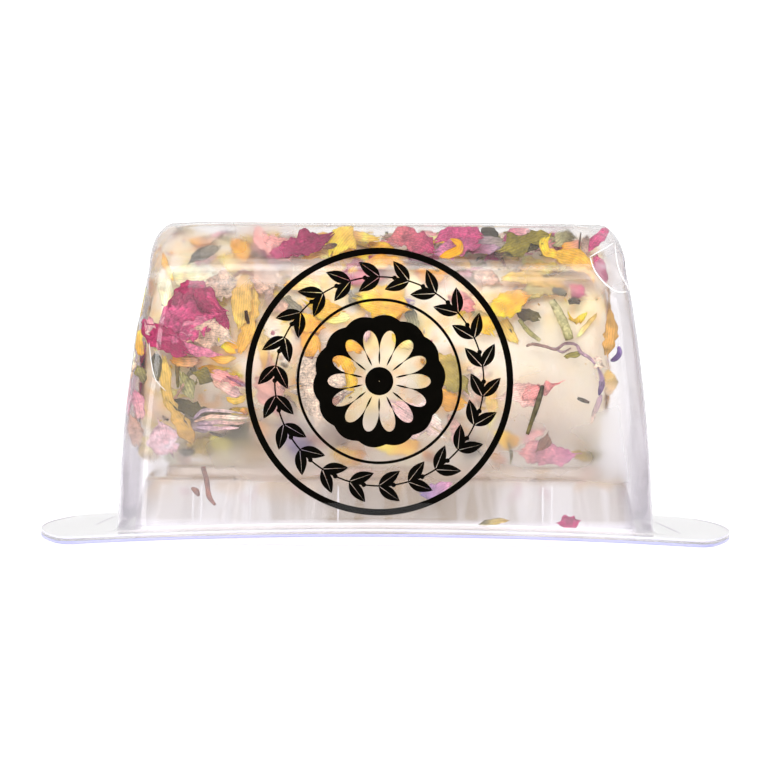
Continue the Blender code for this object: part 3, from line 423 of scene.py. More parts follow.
# Bits in the slot in front of the pedestal: node, kind, colours and middle line: x, height, width
FALLEN = (
    ("fallen_twig", "stem", "bark", "rust",
     ((-32.3, 13.4, 0.8), (-31.6, 10.8, 0.9), (-31.2, 8.2, 0.9), (-30.1, 6.6, 0.5))),
    ("fallen_twig", "seed", "bark", "rust", ((-34.3, 9.6, 0.5), (-33.5, 9.1, 1.1), (-33.0, 8.2, 0.5))),
    ("fallen_cornflower", "cornflower", "violet", "orchid",
     ((6.0, 8.8, 0.8), (8.4, 9.0, 2.6), (10.2, 10.0, 1.8), (11.8, 10.8, 0.6))),
    ("fallen_rose", "rose", "bright rose", "bright rose",
     ((30.9, 3.8, 2.1), (31.7, 3.9, 2.2), (32.9, 4.0, 2.1), (33.9, 4.1, 2.0))),
    ("fallen_leaf", "leaf", "leaf", "dull yellow", ((16.8, 3.4, 0.6), (19.2, 3.9, 1.2), (21.6, 4.1, 0.4))),
)

# How each kind of dried tissue is shaped: ragged edge, rim curl, width and length of a scattered
# piece in mm, how many are scattered, and its material slot
KINDS = {
    "rose": (0.32, 0.35, (2.0, 4.5), (3.0, 7.5), 46, "rose_petal"),
    "pink": (0.42, 0.3, (1.8, 4.5), (3.0, 7.0), 40, "pink_petal"),
    "straw": (0.5, 0.25, (1.5, 4.5), (2.5, 6.0), 54, "straw_petal"),
    "marigold": (0.3, 0.2, (1.2, 3.4), (3.5, 10.0), 170, "marigold_petal"),
    "cornflower": (0.25, 0.2, (0.6, 1.7), (3.5, 8.0), 46, "cornflower_petal"),
    "leaf": (0.45, 0.25, (0.9, 3.2), (2.0, 5.5), 90, "dried_herb"),
    "stem": (0.0, 0.0, (0.3, 1.0), (3.0, 9.0), 54, "dried_herb"),
    "seed": (0.0, 0.0, (0.5, 1.1), (0.8, 2.0), 40, "dried_herb"),
}
SCATTER_COLOURS = {
    "rose": ("rose", "deep rose", "magenta", "coral", "pale rose", "wine"),
    "pink": ("salmon", "blush", "shell", "pale rose", "orchid", "coral"),
    "straw": ("straw", "tan pink", "dark straw", "shell"),
    "marigold": ("yellow", "orange", "bright", "amber", "pale yellow", "dull yellow"),
    "cornflower": ("violet", "lavender", "deep violet", "mauve", "blush"),
    "leaf": ("olive", "leaf", "sage", "grey", "leaf", "moss"),
    "stem": ("sage", "leaf", "bark", "brown", "moss"),
    "seed": ("umber", "seed", "dark olive", "slate", "bark"),
}


# Colour and nodes


def linear(code):
    """The linear RGBA of an sRGB hex code."""
    channels = [int(code[i:i + 2], 16) / 255 for i in (0, 2, 4)]
    return [c / 12.92 if c <= 0.04045 else ((c + 0.055) / 1.055) ** 2.4 for c in channels] + [1.0]


def add(tree, kind, inputs=(), **settings):
    """Adds a shader node. Inputs pair a socket's name or number with a value, with another socket, or
    with another node, which gives its first output."""
    made = tree.nodes.new("ShaderNode" + kind)
    for key, value in settings.items():
        setattr(made, key, value)
    for key, value in inputs:
        if isinstance(value, bpy.types.Node):
            value = value.outputs[0]
        if isinstance(value, bpy.types.NodeSocket):
            tree.links.new(value, made.inputs[key])
        else:
            made.inputs[key].default_value = value
    return made


def new_material(name):
    """An empty node material and its tree."""
    made = bpy.data.materials.new(name)
    made.use_nodes = True
    made.node_tree.nodes.clear()
    return made, made.node_tree


def per_metre(size):
    """A texture's scale for features of that size in mm, on coordinates in metres."""
    return 1 / (size * MM)


# Shapes


def soft_noise(points, size, seed):
    """Smooth random heights from -1 to 1, with bumps about that many mm wide."""
    grid = np.random.default_rng(seed).uniform(-1, 1, (32, 32, 32))
    scaled = np.asarray(points, float) / size + 64
    low = np.floor(scaled).astype(int)
    part = scaled - low
    ease = part * part * (3 - 2 * part)
    total = 0
    for corner in itertools.product((0, 1), repeat=3):
        weight = np.prod(np.where(corner, ease, 1 - ease), axis=-1)
        x, y, z = np.moveaxis((low + corner) % 32, -1, 0)
        total = total + weight * grid[x, y, z]
    return total


def new_piece(name, points, faces, finishes):
    """A mesh object that rides on the pack. Points are in mm."""
    mesh = bpy.data.meshes.new(name)
    mesh.from_pydata((np.asarray(points) * MM).tolist(), [], faces)
    mesh.update()
    mesh.shade_smooth()
    for finish in finishes:
        mesh.materials.append(finish)
    made = bpy.data.objects.new(name, mesh)
    bpy.context.scene.collection.objects.link(made)
    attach(made, "root")
    return made


def grid_faces(rows, columns, closed=False, first=0):
    """Quads over a grid of points, closed round its columns or not."""
    index = np.arange(rows * columns).reshape(rows, columns) + first
    if closed:
        index = np.hstack([index, index[:, :1]])
    corners = (index[:-1, :-1], index[:-1, 1:], index[1:, 1:], index[1:, :-1])
    return np.stack(corners, axis=-1).reshape(-1, 4).tolist()


def pressed(obj, inward):
    """Moves an object's points in along their normals, by distances in mm."""
    mesh = obj.data
    normals = np.empty(len(mesh.vertices) * 3)
    places = np.empty(len(mesh.vertices) * 3)
    mesh.vertices.foreach_get("normal", normals)
    mesh.vertices.foreach_get("co", places)
    places = places.reshape(-1, 3) - normals.reshape(-1, 3) * (inward * MM)[:, None]
    mesh.vertices.foreach_set("co", places.ravel())
    mesh.update()


def points_of(obj):
    """An object's points in mm."""
    places = np.empty(len(obj.data.vertices) * 3)
    obj.data.vertices.foreach_get("co", places)
    return places.reshape(-1, 3) / MM


def thicken(obj, thickness, offset, inner=0, rim=0):
    """Gives a sheet its thickness in mm, with other materials inside and along its cut edge."""
    solid = obj.modifiers.new("Thickness", "SOLIDIFY")
    solid.thickness = thickness * MM
    solid.offset = offset
    solid.material_offset = inner
    solid.material_offset_rim = rim


def smooth_line(rows, step):
    """A smooth curve through rows of numbers, the first two being its place, with even steps."""
    rows = np.asarray(rows, float)
    ends = np.vstack([2 * rows[0] - rows[1], rows, 2 * rows[-1] - rows[-2]])
    ends[0, 2:], ends[-1, 2:] = rows[0, 2:], rows[-1, 2:]
    line = []
    for a, b, c, d in zip(ends, ends[1:], ends[2:], ends[3:]):
        count = max(2, int(math.ceil(np.linalg.norm((c - b)[:2]) / step)))
        t = (np.arange(count) / count)[:, None]
        line.append(0.5 * (2 * b + (c - a) * t + (2 * a - 5 * b + 4 * c - d) * t ** 2
                           + (3 * b - a - 3 * c + d) * t ** 3))
    line.append(rows[-1][None, :])
    return np.vstack(line)


# The pack's form


def bow(x, height):
    """How far the arched flange lifts a point above the ground."""
    along = np.minimum(np.abs(x) / TAB_INNER, 1.0)
    fade = np.clip((BOW_END_HEIGHT - height) / (BOW_END_HEIGHT - COVER_FLANGE_TOP), 0, 1)
    return BOW_RISE * (1 - along * along) * fade


def outline(half_length, half_depth, radius, counts, flute=0.0, bulge=0.0):
    """A rounded rectangle, anticlockwise from its front left, its long sides fluted inward."""
    on_long, on_short, on_corner = counts
    run, across = half_length - radius, half_depth - radius
    sides = (
        ((-run, -half_depth), (run, -half_depth), on_long, FLUTES, (run, -across)),
        ((half_length, -across), (half_length, across), on_short, 2, (run, across)),
        ((run, half_depth), (-run, half_depth), on_long, FLUTES, (-run, across)),
        ((-half_length, across), (-half_length, -across), on_short, 2, (-run, -across)),
    )
    parts = []
    for side, (start, end, steps, flutes, centre) in enumerate(sides):
        inward = np.array((-math.sin(side * math.pi / 2), math.cos(side * math.pi / 2)))
        part = (np.arange(steps) / steps)[:, None]
        wave = np.tanh(2.2 * np.cos(2 * math.pi * flutes * part)) / math.tanh(2.2)
        parts.append(np.array(start) * (1 - part) + np.array(end) * part + inward * flute * (1 - wave) / 2)
        turn = np.radians(-90 + 90 * (side + np.arange(on_corner) / on_corner))
        parts.append(np.array(centre) + radius * np.stack([np.cos(turn), np.sin(turn)], axis=1))
    points = np.vstack(parts)
    points[:, 0] += np.copysign(bulge * (1 - (points[:, 1] / half_depth) ** 2), points[:, 0])
    return points


def cover_section(height):
    """The cover's half length, half depth and corner radius at a height."""
    low = np.clip(height / CREASE_HEIGHT, 0, 1) ** WALL_CURVE
    high = np.clip((height - CREASE_HEIGHT) / (TOP_HEIGHT - CREASE_HEIGHT), 0, 1)
    rounding = 1 - np.sqrt(1 - high * high)
    length = FOOT_HALF[0] + (CREASE_HALF[0] - FOOT_HALF[0]) * low + (TOP_HALF[0] - CREASE_HALF[0]) * rounding
    depth = FOOT_HALF[1] + (CREASE_HALF[1] - FOOT_HALF[1]) * low + (TOP_HALF[1] - CREASE_HALF[1]) * high
    corner = FOOT_CORNER + (CREASE_CORNER - FOOT_CORNER) * low + (TOP_CORNER - CREASE_CORNER) * high
    return length, depth, corner


def formed_section(height):
    """The same, with the crease rounded as a film rounds over an edge."""
    height = np.asarray(height, float)
    length, _, corner = cover_section(height)
    spread = np.linspace(-CREASE_ROUND, CREASE_ROUND, 9)
    depth = np.mean([cover_section(np.clip(height + d, 0, TOP_HEIGHT))[1] for d in spread], axis=0)
    return length, depth, corner


def front_depth(x, height):
    """How far the cover's front stands from the middle, its corners included."""
    length, depth, corner = formed_section(height)
    over = np.clip(np.abs(x) - (length - corner), 0, 0.98 * corner)
    return depth - corner + np.sqrt(corner ** 2 - over ** 2)


# Dents in the film: place, reach and depth in mm
DENTS = (
    ((-39.5, -17.0, 52.5), 5.5, 0.9),
    ((-43.0, -20.0, 44.0), 5.0, 0.6),
    ((-42.0, -22.0, 33.0), 4.0, 0.5),
    ((38.0, -14.0, 55.0), 4.0, 0.5),
    ((43.5, 16.0, 50.0), 6.0, 0.7),
    ((-41.0, 17.0, 51.0), 6.0, 0.6),
    ((-41.5, 0.0, 56.0), 7.0, 1.2),
)


# Where the film is crumpled: place and reach
CRUMPLED = (
    ((-38.5, -17.5, 52.5), 6.5),
    ((-43.0, -19.5, 42.0), 5.0),
    ((-43.0, -21.0, 30.0), 5.0),
)


# Where the film was drawn thin along its crease: middle height and spread
DRAWN_HEIGHT, DRAWN_SPREAD = 47.5, 3.2


def film_sag(points):
    """How far in from its mould's shape the film lies, in mm."""
    sag = 0.10 * (1 + soft_noise(points, 15, 3)) + 0.025 * (1 + soft_noise(points, 4.5, 4))
    drawn = np.exp(-((points[..., 2] - DRAWN_HEIGHT) / DRAWN_SPREAD) ** 2)
    sag = sag + 0.09 * drawn * (1 + soft_noise(points * np.array((0.06, 0.3, 1.0)), 1.4, 6))
    rough = 0.6 + 0.4 * soft_noise(points, 5.5, 5)
    folds = 0.13 * (1 - np.abs(soft_noise(points, 2.6, 9))) ** 2
    for place, reach in CRUMPLED:
        gap = np.sum((points - np.array(place)) ** 2, axis=-1)
        sag = sag + folds * np.exp(-gap / reach ** 2)
    for place, reach, depth in DENTS:
        gap = np.sum((points - np.array(place)) ** 2, axis=-1)
        sag = sag + depth * rough * np.exp(-gap / reach ** 2)
    return sag


# The cover's front right corner was knocked flat: three points of the facet's plane
FACET = np.array([(36.1, -19.6, 50.9), (40.6, -15.4, 53.7), (42.7, -19.6, 44.8)])
FACET_NORMAL = np.cross(FACET[2] - FACET[0], FACET[1] - FACET[0])
FACET_NORMAL /= np.linalg.norm(FACET_NORMAL)


def knocked_flat(points):
    """The points, with those beyond the facet's plane pressed down onto it."""
    beyond = (points - FACET[0]) @ FACET_NORMAL
    return points - np.clip(beyond, 0, None)[:, None] * FACET_NORMAL


def flange_rows(height):
    """Outlines from the flange's cut edge to the foot of what rises from it."""
    rows = []
    for part in (0.0, 0.03, 0.35, 0.7, 1.0):
        rows.append((height, FLANGE_HALF_LENGTH + (TAB_INNER - FLANGE_HALF_LENGTH) * part,
                     FLANGE_HALF_DEPTH + (TAB_INNER_DEPTH - FLANGE_HALF_DEPTH) * part,
                     FLANGE_CORNER, 0.0, TAB_BULGE * (1 - part)))
    return rows


def formed_sheet(name, rows, counts, finishes):
    """A smooth sheet through rows of outlines: height, half length, half depth and corner radius,
    with the flutes' depth and the ends' bulge where they have them."""
    rings = []
    for height, length, depth, radius, *waves in rows:
        flat = outline(length, depth, radius, counts, *waves)
        rings.append(np.column_stack([flat, height + bow(flat[:, 0], height)]))
    around = len(rings[0])
    faces = grid_faces(len(rings), around, closed=True)
    last = (len(rings) - 1) * around
    faces.append(list(range(last, last + around)))
    return new_piece(name, np.vstack(rings), faces, finishes)


COVER_COUNTS = (110, 52, 16)


def make_cover(outside, inside, edge):
    """The clear cover: flange, fillet, tapered walls, shoulder and top, with dents and a flat corner."""
    rows = flange_rows(COVER_FLANGE_TOP)
    foot_length, foot_depth, foot_corner = cover_section(COVER_FLANGE_TOP)
    for part in (0.4, 0.75):
        rows.append((COVER_FLANGE_TOP, TAB_INNER + (foot_length + FOOT_FILLET - TAB_INNER) * part,
                     TAB_INNER_DEPTH + (foot_depth + FOOT_FILLET - TAB_INNER_DEPTH) * part,
                     FLANGE_CORNER + (foot_corner + FOOT_FILLET - FLANGE_CORNER) * part))
    for turn in np.radians((0, 22, 45, 68)):
        reach, rise = FOOT_FILLET * (1 - math.sin(turn)), FOOT_FILLET * (1 - math.cos(turn))
        rows.append((COVER_FLANGE_TOP + rise, foot_length + reach, foot_depth + reach,
                     foot_corner + reach))
    wall = np.linspace(COVER_FLANGE_TOP + FOOT_FILLET, 46.5, 36)
    crease = np.linspace(47.0, 51.5, 13)
    slope = math.atan2(TOP_HEIGHT - CREASE_HEIGHT, CREASE_HALF[1] - TOP_HALF[1])
    tangent = TOP_ROUND * math.tan(slope / 2)
    shoulder = np.linspace(52.0, TOP_HEIGHT - tangent * math.sin(slope), 14)
    for height in np.concatenate([wall, crease, shoulder[:-1]]):
        length, depth, corner = formed_section(height)
        rows.append((height, float(length), float(depth), float(corner)))
    for turn in np.linspace(slope, 0, 12):
        height = TOP_HEIGHT - TOP_ROUND * (1 - math.cos(turn))
        length, _, corner = cover_section(min(height, TOP_HEIGHT - 0.02))
        depth = TOP_HALF[1] - tangent + TOP_ROUND * math.sin(turn)
        rows.append((height, float(length), depth, float(corner)))
    _, top_length, top_depth, top_corner = rows[-1]
    for inset in (0.4, 1.2, 2.6, 4.5, 7.0, 9.0, 10.5, 11.5):
        radius = max(0.6, top_corner - inset)
        rows.append((TOP_HEIGHT, top_length - inset, top_depth - inset, radius))
    cover = formed_sheet("cover_film", rows, COVER_COUNTS, [outside, inside, edge])
    places = points_of(cover)
    above_flange = np.clip((places[:, 2] - 3.5) / 4, 0, 1)
    pressed(cover, film_sag(places) * above_flange)
    dented = knocked_flat(points_of(cover)) * MM
    cover.data.vertices.foreach_set("co", dented.ravel())
    cover.data.update()
    thicken(cover, FILM, -1, inner=1, rim=2)
    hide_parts("cover")
    return cover


TRAY_COUNTS = (200, 64, 10)


def pedestal_wall(axis, part):
    """How far the pedestal's wall stands from the middle, from its toe (0) to its ledge (1)."""
    toe = PEDESTAL_FOOT[axis] - PEDESTAL_TOE
    return toe + (LEDGE_EDGE[axis] - toe) * part


def make_tray(outside, inside, edge):
    """The clear tray: flange, fluted pedestal with a ledge, and the platform the cheese lies on."""
    rows = flange_rows(BASE_TOP)
    rows.append((BASE_TOP, PEDESTAL_FOOT[0] + PEDESTAL_TOE, PEDESTAL_FOOT[1] + PEDESTAL_TOE,
                 PEDESTAL_CORNER))
    for part in np.linspace(0, 1, 5):
        flute = FLUTE_DEPTH * (part * part * (3 - 2 * part))
        rows.append((BASE_TOP + 0.1 + (TOE_TOP - BASE_TOP) * part ** 1.3,
                     PEDESTAL_FOOT[0] - PEDESTAL_TOE * part, PEDESTAL_FOOT[1] - PEDESTAL_TOE * part,
                     PEDESTAL_CORNER, flute))
    for part in np.linspace(0.1, 1, 10):
        rows.append((TOE_TOP + (WALL_TOP - TOE_TOP) * part, pedestal_wall(0, part), pedestal_wall(1, part),
                     PEDESTAL_CORNER, FLUTE_DEPTH))
    for turn in np.radians((25, 50, 75, 90)):
        reach, rise = 0.8 * (1 - math.cos(turn)), 1.0 * math.sin(turn)
        rows.append((WALL_TOP + rise, LEDGE_EDGE[0] - reach, LEDGE_EDGE[1] - reach,
                     PEDESTAL_CORNER - 0.4, FLUTE_DEPTH * math.cos(turn)))
    for rise, reach in ((0.0, 0.6), (0.2, 0.15)):
        rows.append((LEDGE_HEIGHT + rise, PLATFORM_EDGE[0] + reach, PLATFORM_EDGE[1] + reach,
                     PEDESTAL_CORNER - 0.4))
    for turn in np.radians((0, 30, 60, 90)):
        reach, rise = 0.5 * (1 - math.cos(turn)), 0.5 * math.sin(turn)
        rows.append((PLATFORM_HEIGHT - 0.5 + rise, PLATFORM_EDGE[0] - reach, PLATFORM_EDGE[1] - reach,
                     PEDESTAL_CORNER - 0.4))
    for inset in (3.0, 8.0, 13.0, 17.0):
        rows.append((PLATFORM_HEIGHT, PLATFORM_EDGE[0] - inset, PLATFORM_EDGE[1] - inset,
                     max(0.6, PEDESTAL_CORNER - inset)))
    tray = formed_sheet("tray_film", rows, TRAY_COUNTS, [outside, inside, edge])
    places = points_of(tray)
    above_flange = np.clip((places[:, 2] - 3.0) / 3, 0, 1)
    pressed(tray, 0.05 * (1 + soft_noise(places, 6, 8)) * above_flange)
    thicken(tray, TRAY_SHEET, -1, inner=1, rim=2)
    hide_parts("base")
    return tray


# The cheese's form


def log_radius(x, angle):
    """The log's uneven radius."""
    radius = LOG_RADIUS
    for height, waves, twist, start in RIPPLES:
        radius = radius + height * np.sin(waves * angle + twist * x + start)
    return radius


def log_end(side, height):
    """Where an end face is at a height. The left one leans with the cover's wall."""
    return LOG_RIGHT + 0 * height if side > 0 else LOG_LEFT + LOG_LEAN * (height - LOG_AXIS)


def on_log(x, angle, lift):
    """Points over the log's side."""
    reach = log_radius(x, angle) + lift
    y, z = -reach * np.sin(angle), LOG_AXIS + reach * np.cos(angle)
    return np.stack(np.broadcast_arrays(x, y, z), axis=-1)


# The skin's lumps and grain: height, width, seed; and its pits: depth, width, seed, how few
LUMPS = ((0.22, 5.5, 21), (0.13, 2.3, 22), (0.07, 1.1, 23))
PITS = (0.5, 3.4, 24, 0.45)
SKIN_INSET = 0.12


def make_cheese(finish):
    """The soft cheese: an uneven log with rounded ends, a flat underside and a lumpy, grainy skin."""
    sides, stations = 220, 170
    angle = np.arange(sides) * 2 * math.pi / sides
    sections = []
    for side in (-1, 1):
        rounding = LOG_ROUND[side]
        flat = 1 - rounding / LOG_RADIUS
        profile = [(share * flat, 0.0) for share in (0.03, 0.15, 0.3, 0.45, 0.6, 0.75, 0.88, 1.0)]
        for turn in np.radians((15, 30, 45, 60, 75)):
            profile.append((flat + (1 - flat) * math.sin(turn), rounding * (1 - math.cos(turn))))
        profile.append((1.0, rounding))
        sections.append(profile)
    left = [(share, -1, inset) for share, inset in sections[0]]
    start, end = LOG_LEFT + LOG_ROUND[-1], LOG_RIGHT - LOG_ROUND[1]
    middle = [(1.0, 1, LOG_RIGHT - (start + (end - start) * i / stations)) for i in range(1, stations)]
    right = [(share, 1, inset) for share, inset in reversed(sections[1])]
    rings = []
    for share, side, inset in left + middle + right:
        x = float(log_end(side, LOG_AXIS)) - side * inset
        ring = on_log(x, angle, 0.0)
        ring[:, 1] *= share
        ring[:, 2] = np.maximum(LOG_AXIS + (ring[:, 2] - LOG_AXIS) * share, LOG_REST)
        if side < 0:
            ring[:, 0] += (log_end(side, ring[:, 2]) - log_end(side, LOG_AXIS)) * max(0, 1 - inset / 6)
        rings.append(ring)
    faces = grid_faces(len(rings), sides, closed=True)
    last = (len(rings) - 1) * sides
    faces = [face[::-1] for face in faces]
    faces.append(list(range(sides)))
    faces.append(list(range(last + sides - 1, last - 1, -1)))
    cheese = new_piece("cheese_log", np.vstack(rings), faces, [finish])
    places = points_of(cheese)
    lumps = sum(height * soft_noise(places, width, seed) for height, width, seed in LUMPS)
    depth, width, seed, level = PITS
    pits = depth * np.clip(soft_noise(places, width, seed) - level, 0, None)
    pressed(cheese, SKIN_INSET + lumps + pits)
    stain_cheese(cheese, places)
    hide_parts("log")
    return cheese


# What the petals leave on the curd: colour, the size of its patches in mm, how much of it shows
STAINS = (
    ("FBEBB0", 5.0, 0.95), ("F8DF9A", 3.6, 0.75), ("F0D2B4", 4.2, 0.45), ("F8CC44", 2.2, 0.6),
    ("EEC6AC", 2.6, 0.3), ("CFC592", 2.8, 0.4), ("A39A7C", 1.7, 0.3), ("F4AC34", 1.5, 0.4),
)


def stain_cheese(cheese, places):
    """Colours the curd: cream, stained in soft patches where petals lay, clean low down on the right."""
    x, y, z = places.T
    clean = np.clip((x - 14) / 8, 0, 1) * np.clip((44 - z) / 8, 0, 1) * np.clip((4 - y) / 14, 0, 1)
    low = np.clip((24 - z) / 8, 0, 1) * 0.45
    amount = np.clip(1 - 0.9 * clean - low, 0, 1)
    colours = np.tile(np.array(linear("EDE1CA")[:3]), (len(places), 1))
    for seed, (code, size, strength) in enumerate(STAINS):
        cover = np.clip(soft_noise(places, size, 60 + seed) * 1.8 - 0.25, 0, 1) * strength * amount
        colours = colours + (np.array(linear(code)[:3]) - colours) * cover[:, None]
    stained = cheese.data.attributes.new("stain", "FLOAT_COLOR", "POINT")
    stained.data.foreach_set("color", np.column_stack([colours, np.ones(len(colours))]).ravel())


# Where petals lie


def seen_at(x, height, depth):
    """The point at a depth behind the camera that shows at a place in the plane of the log's front."""
    camera_x, camera_y, camera_z = CAMERA_PLACE
    share = (depth - camera_y) / (SEEN_PLANE - camera_y)
    return camera_x + (x - camera_x) * share, camera_z + (height - camera_z) * share


OFF_CHEESE, OFF_FILM = 0.25, 0.35


def between(x, height, share, lift):
    """Points seen from the front at a place, standing between the cheese and the film."""
    depth = np.full(np.shape(x), -12.0)
    for _ in range(8):
        _, up = seen_at(x, height, depth)
        off_axis = np.clip(up - LOG_AXIS, -LOG_RADIUS, LOG_RADIUS)
        depth = -np.sqrt(np.maximum((LOG_RADIUS + OFF_CHEESE) ** 2 - off_axis ** 2, 9.0))
    film = np.full(np.shape(x), -22.0)
    for _ in range(8):
        along, up = seen_at(x, height, film)
        film = -(front_depth(along, np.clip(up, 3, TOP_HEIGHT - 0.3)) - FILM - OFF_FILM)
    depth = np.minimum(depth + (film - depth) * share, -2.0)
    along, up = seen_at(x, height, depth)
    out = np.stack([0 * up, depth, up - LOG_AXIS], axis=-1)
    out /= np.linalg.norm(out, axis=-1, keepdims=True)
    return kept_inside(np.stack([along, depth, up], axis=-1) + out * np.asarray(lift)[..., None])


def kept_inside(points, margin=0.3):
    """The points, kept clear of the film and of the cheese."""
    x, y, z = np.moveaxis(points.copy(), -1, 0)
    length, _, _ = formed_section(np.clip(z, 0, TOP_HEIGHT))
    z = np.minimum(z, TOP_HEIGHT - FILM - margin)
    x = np.clip(x, -(length - FILM - margin), length - FILM - margin)
    limit = front_depth(x, np.clip(z, 0, TOP_HEIGHT)) - FILM - margin
    y = np.clip(y, -limit, limit)
    facet = (np.stack([x, y, z], axis=-1) - FACET[0]) @ FACET_NORMAL
    push = np.clip(facet + FILM + margin, 0, None)
    x, y, z = x - push * FACET_NORMAL[0], y - push * FACET_NORMAL[1], z - push * FACET_NORMAL[2]
    angle = np.arctan2(-y, z - LOG_AXIS)
    reach = np.hypot(y, z - LOG_AXIS)
    least = log_radius(x, angle) + 0.02
    on_side = (x > LOG_LEFT + 2.0) & (x < LOG_RIGHT - 1.0)
    grow = np.where(on_side & (reach < least), least / np.maximum(reach, 1e-3), 1.0)
    return np.stack([x, y * grow, LOG_AXIS + (z - LOG_AXIS) * grow], axis=-1)


def front_place(share):
    """Lays a piece where it shows from the front."""
    return lambda u, v, lift: between(u, v, share, lift)


def side_place(x, degrees, base_lift):
    """Lays a flat piece on the log's side."""
    angle = math.radians(degrees)

    def place(u, v, lift):
        return kept_inside(on_log(x + u, angle - v / LOG_RADIUS, np.maximum(base_lift + lift, 0.03)))

    return place


def end_place(side, across, height, base_lift):
    """Lays a flat piece on one of the log's ends."""

    def place(u, v, lift):
        z = height + v
        x = log_end(side, z) + side * np.maximum(base_lift + lift, 0.05)
        return np.stack(np.broadcast_arrays(x, across + u, z), axis=-1)

    return place


def slot_place(u, v, lift):
    """Stands a piece in the slot between the pedestal and the cover's front."""
    wall = front_depth(u, v + bow(u, v)) - FILM
    slot = (wall + PEDESTAL_FOOT[1]) / 2 + 0.3
    return np.stack(np.broadcast_arrays(u, -slot - lift, v), axis=-1)


# Pieces of dried plants


class Gathered:
    """Small pieces of one kind, gathered to become one mesh."""

    def __init__(self):
        self.points, self.faces, self.colours, self.grain, self.count = [], [], [], [], 0

    def take(self, points, faces, colours, grain):
        self.points.append(points.reshape(-1, 3))
        self.faces += faces
        self.colours.append(colours.reshape(-1, 3))
        self.grain.append(grain.reshape(-1, 3))
        self.count += points.reshape(-1, 3).shape[0]

    def make(self, name, finish, slot, thickness=0.0):
        piece = new_piece(name, np.vstack(self.points), self.faces, [finish])
        colours = np.vstack(self.colours)
        tissue = piece.data.attributes.new("tissue", "FLOAT_COLOR", "POINT")
        tissue.data.foreach_set("color", np.column_stack([colours, np.ones(len(colours))]).ravel())
        grain = piece.data.attributes.new("grain", "FLOAT_VECTOR", "POINT")
        grain.data.foreach_set("vector", np.vstack(self.grain).ravel())
        if thickness:
            thicken(piece, thickness, 0)
        return piece


def tinted(first, last, along, points, seed, flecks):
    """Colours from one end of a piece to the other, cloudy and, on papery tissue, flecked."""
    a, b = (np.array(linear(COLOURS[name])[:3]) for name in (first, last))
    colours = a + (b - a) * along[..., None]
    cloud = 1.08 + 0.28 * soft_noise(points, 1.8, seed) + 0.22 * soft_noise(points, 0.8, seed + 1)
    cloud = cloud + 0.14 * soft_noise(points, 0.4, seed + 3)
    fleck = np.clip(soft_noise(points, 0.8, seed + 2) - 0.35, 0, None) * flecks
    return np.clip(colours * (cloud - fleck)[..., None], 0.004, 0.98)


FLECKS = {"rose": 0.2, "pink": 0.35, "straw": 1.1, "marigold": 0.15, "cornflower": 0.2, "leaf": 0.5}


def lay_sheet(heap, kind, first, last, spine, place, crinkle, seed):
    """A thin crinkled sheet along a line of (u, v, width), laid by a placing function."""
    ragged, curl = KINDS[kind][:2]
    widest = max(row[2] for row in spine)
    columns = 9 if widest < 3 else 15 if widest < 6 else 25
    line = smooth_line(spine, 0.5 if widest < 3 else 0.35)
    forward = np.gradient(line[:, :2], axis=0)
    forward /= np.linalg.norm(forward, axis=1, keepdims=True)
    sideways = np.stack([-forward[:, 1], forward[:, 0]], axis=1)
    rows = len(line)
    along = np.linspace(0, 1, rows)
    travelled = np.concatenate([[0], np.cumsum(np.linalg.norm(np.diff(line[:, :2], axis=0), axis=1))])
    side = np.linspace(-1, 1, columns)
    tips = np.minimum(1, 7 * np.minimum(along, 1 - along) + 0.2) ** 0.5
    edge = np.zeros((rows, columns))
    for sign in (-1, 1):
        trace = np.stack([travelled, np.full(rows, seed * 3.7 + sign), np.zeros(rows)], axis=1)
        waver = 1 + ragged * (soft_noise(trace, 2.4, 31) + 0.9 * soft_noise(trace, 0.9, 32)
                              + 0.5 * soft_noise(trace, 0.45, 36))
        edge += np.where(side * sign > 0, 1, 0) * (waver * tips * line[:, 2] / 2)[:, None]
    across = side * edge
    torn = np.stack([side * widest, np.full(columns, seed * 2.9), np.zeros(columns)], axis=1)
    torn = ragged * widest * (soft_noise(torn, 1.6, 37) + 0.6 * soft_noise(torn, 0.7, 38))
    reach = (2 * along[:, None] - 1) ** 5 * torn * (1 - 0.5 * side ** 2)
    u = line[:, :1] + sideways[:, :1] * across + forward[:, :1] * reach
    v = line[:, 1:2] + sideways[:, 1:] * across + forward[:, 1:] * reach
    trace = np.stack([u, v, np.full(u.shape, seed * 5.3)], axis=-1)
    folds = 0.55 * soft_noise(trace, 3.0, 33) + 0.45 * (1 - 2.4 * np.abs(soft_noise(trace, 1.5, 34)))
    lift = crinkle * folds + curl * side ** 4 * (0.5 + soft_noise(trace, 4.0, 35))
    points = place(u, v, lift)
    shade = np.broadcast_to(along[:, None], u.shape)
    colours = tinted(first, last, shade, trace, seed, FLECKS.get(kind, 0.2))
    # Painted shade and light: each sheet's colour is darker in its crinkles' hollows and lighter on their
    # crests.
    colours = colours * (1 + 0.24 * np.clip(folds, -1, 1))[..., None]
    grain = np.stack([np.broadcast_to(travelled[:, None] + 7.0 * seed, u.shape), across,
                      np.broadcast_to(np.abs(side), u.shape)], axis=-1)
    heap.take(points, grid_faces(rows, columns, first=heap.count), np.clip(colours, 0.004, 0.98), grain)


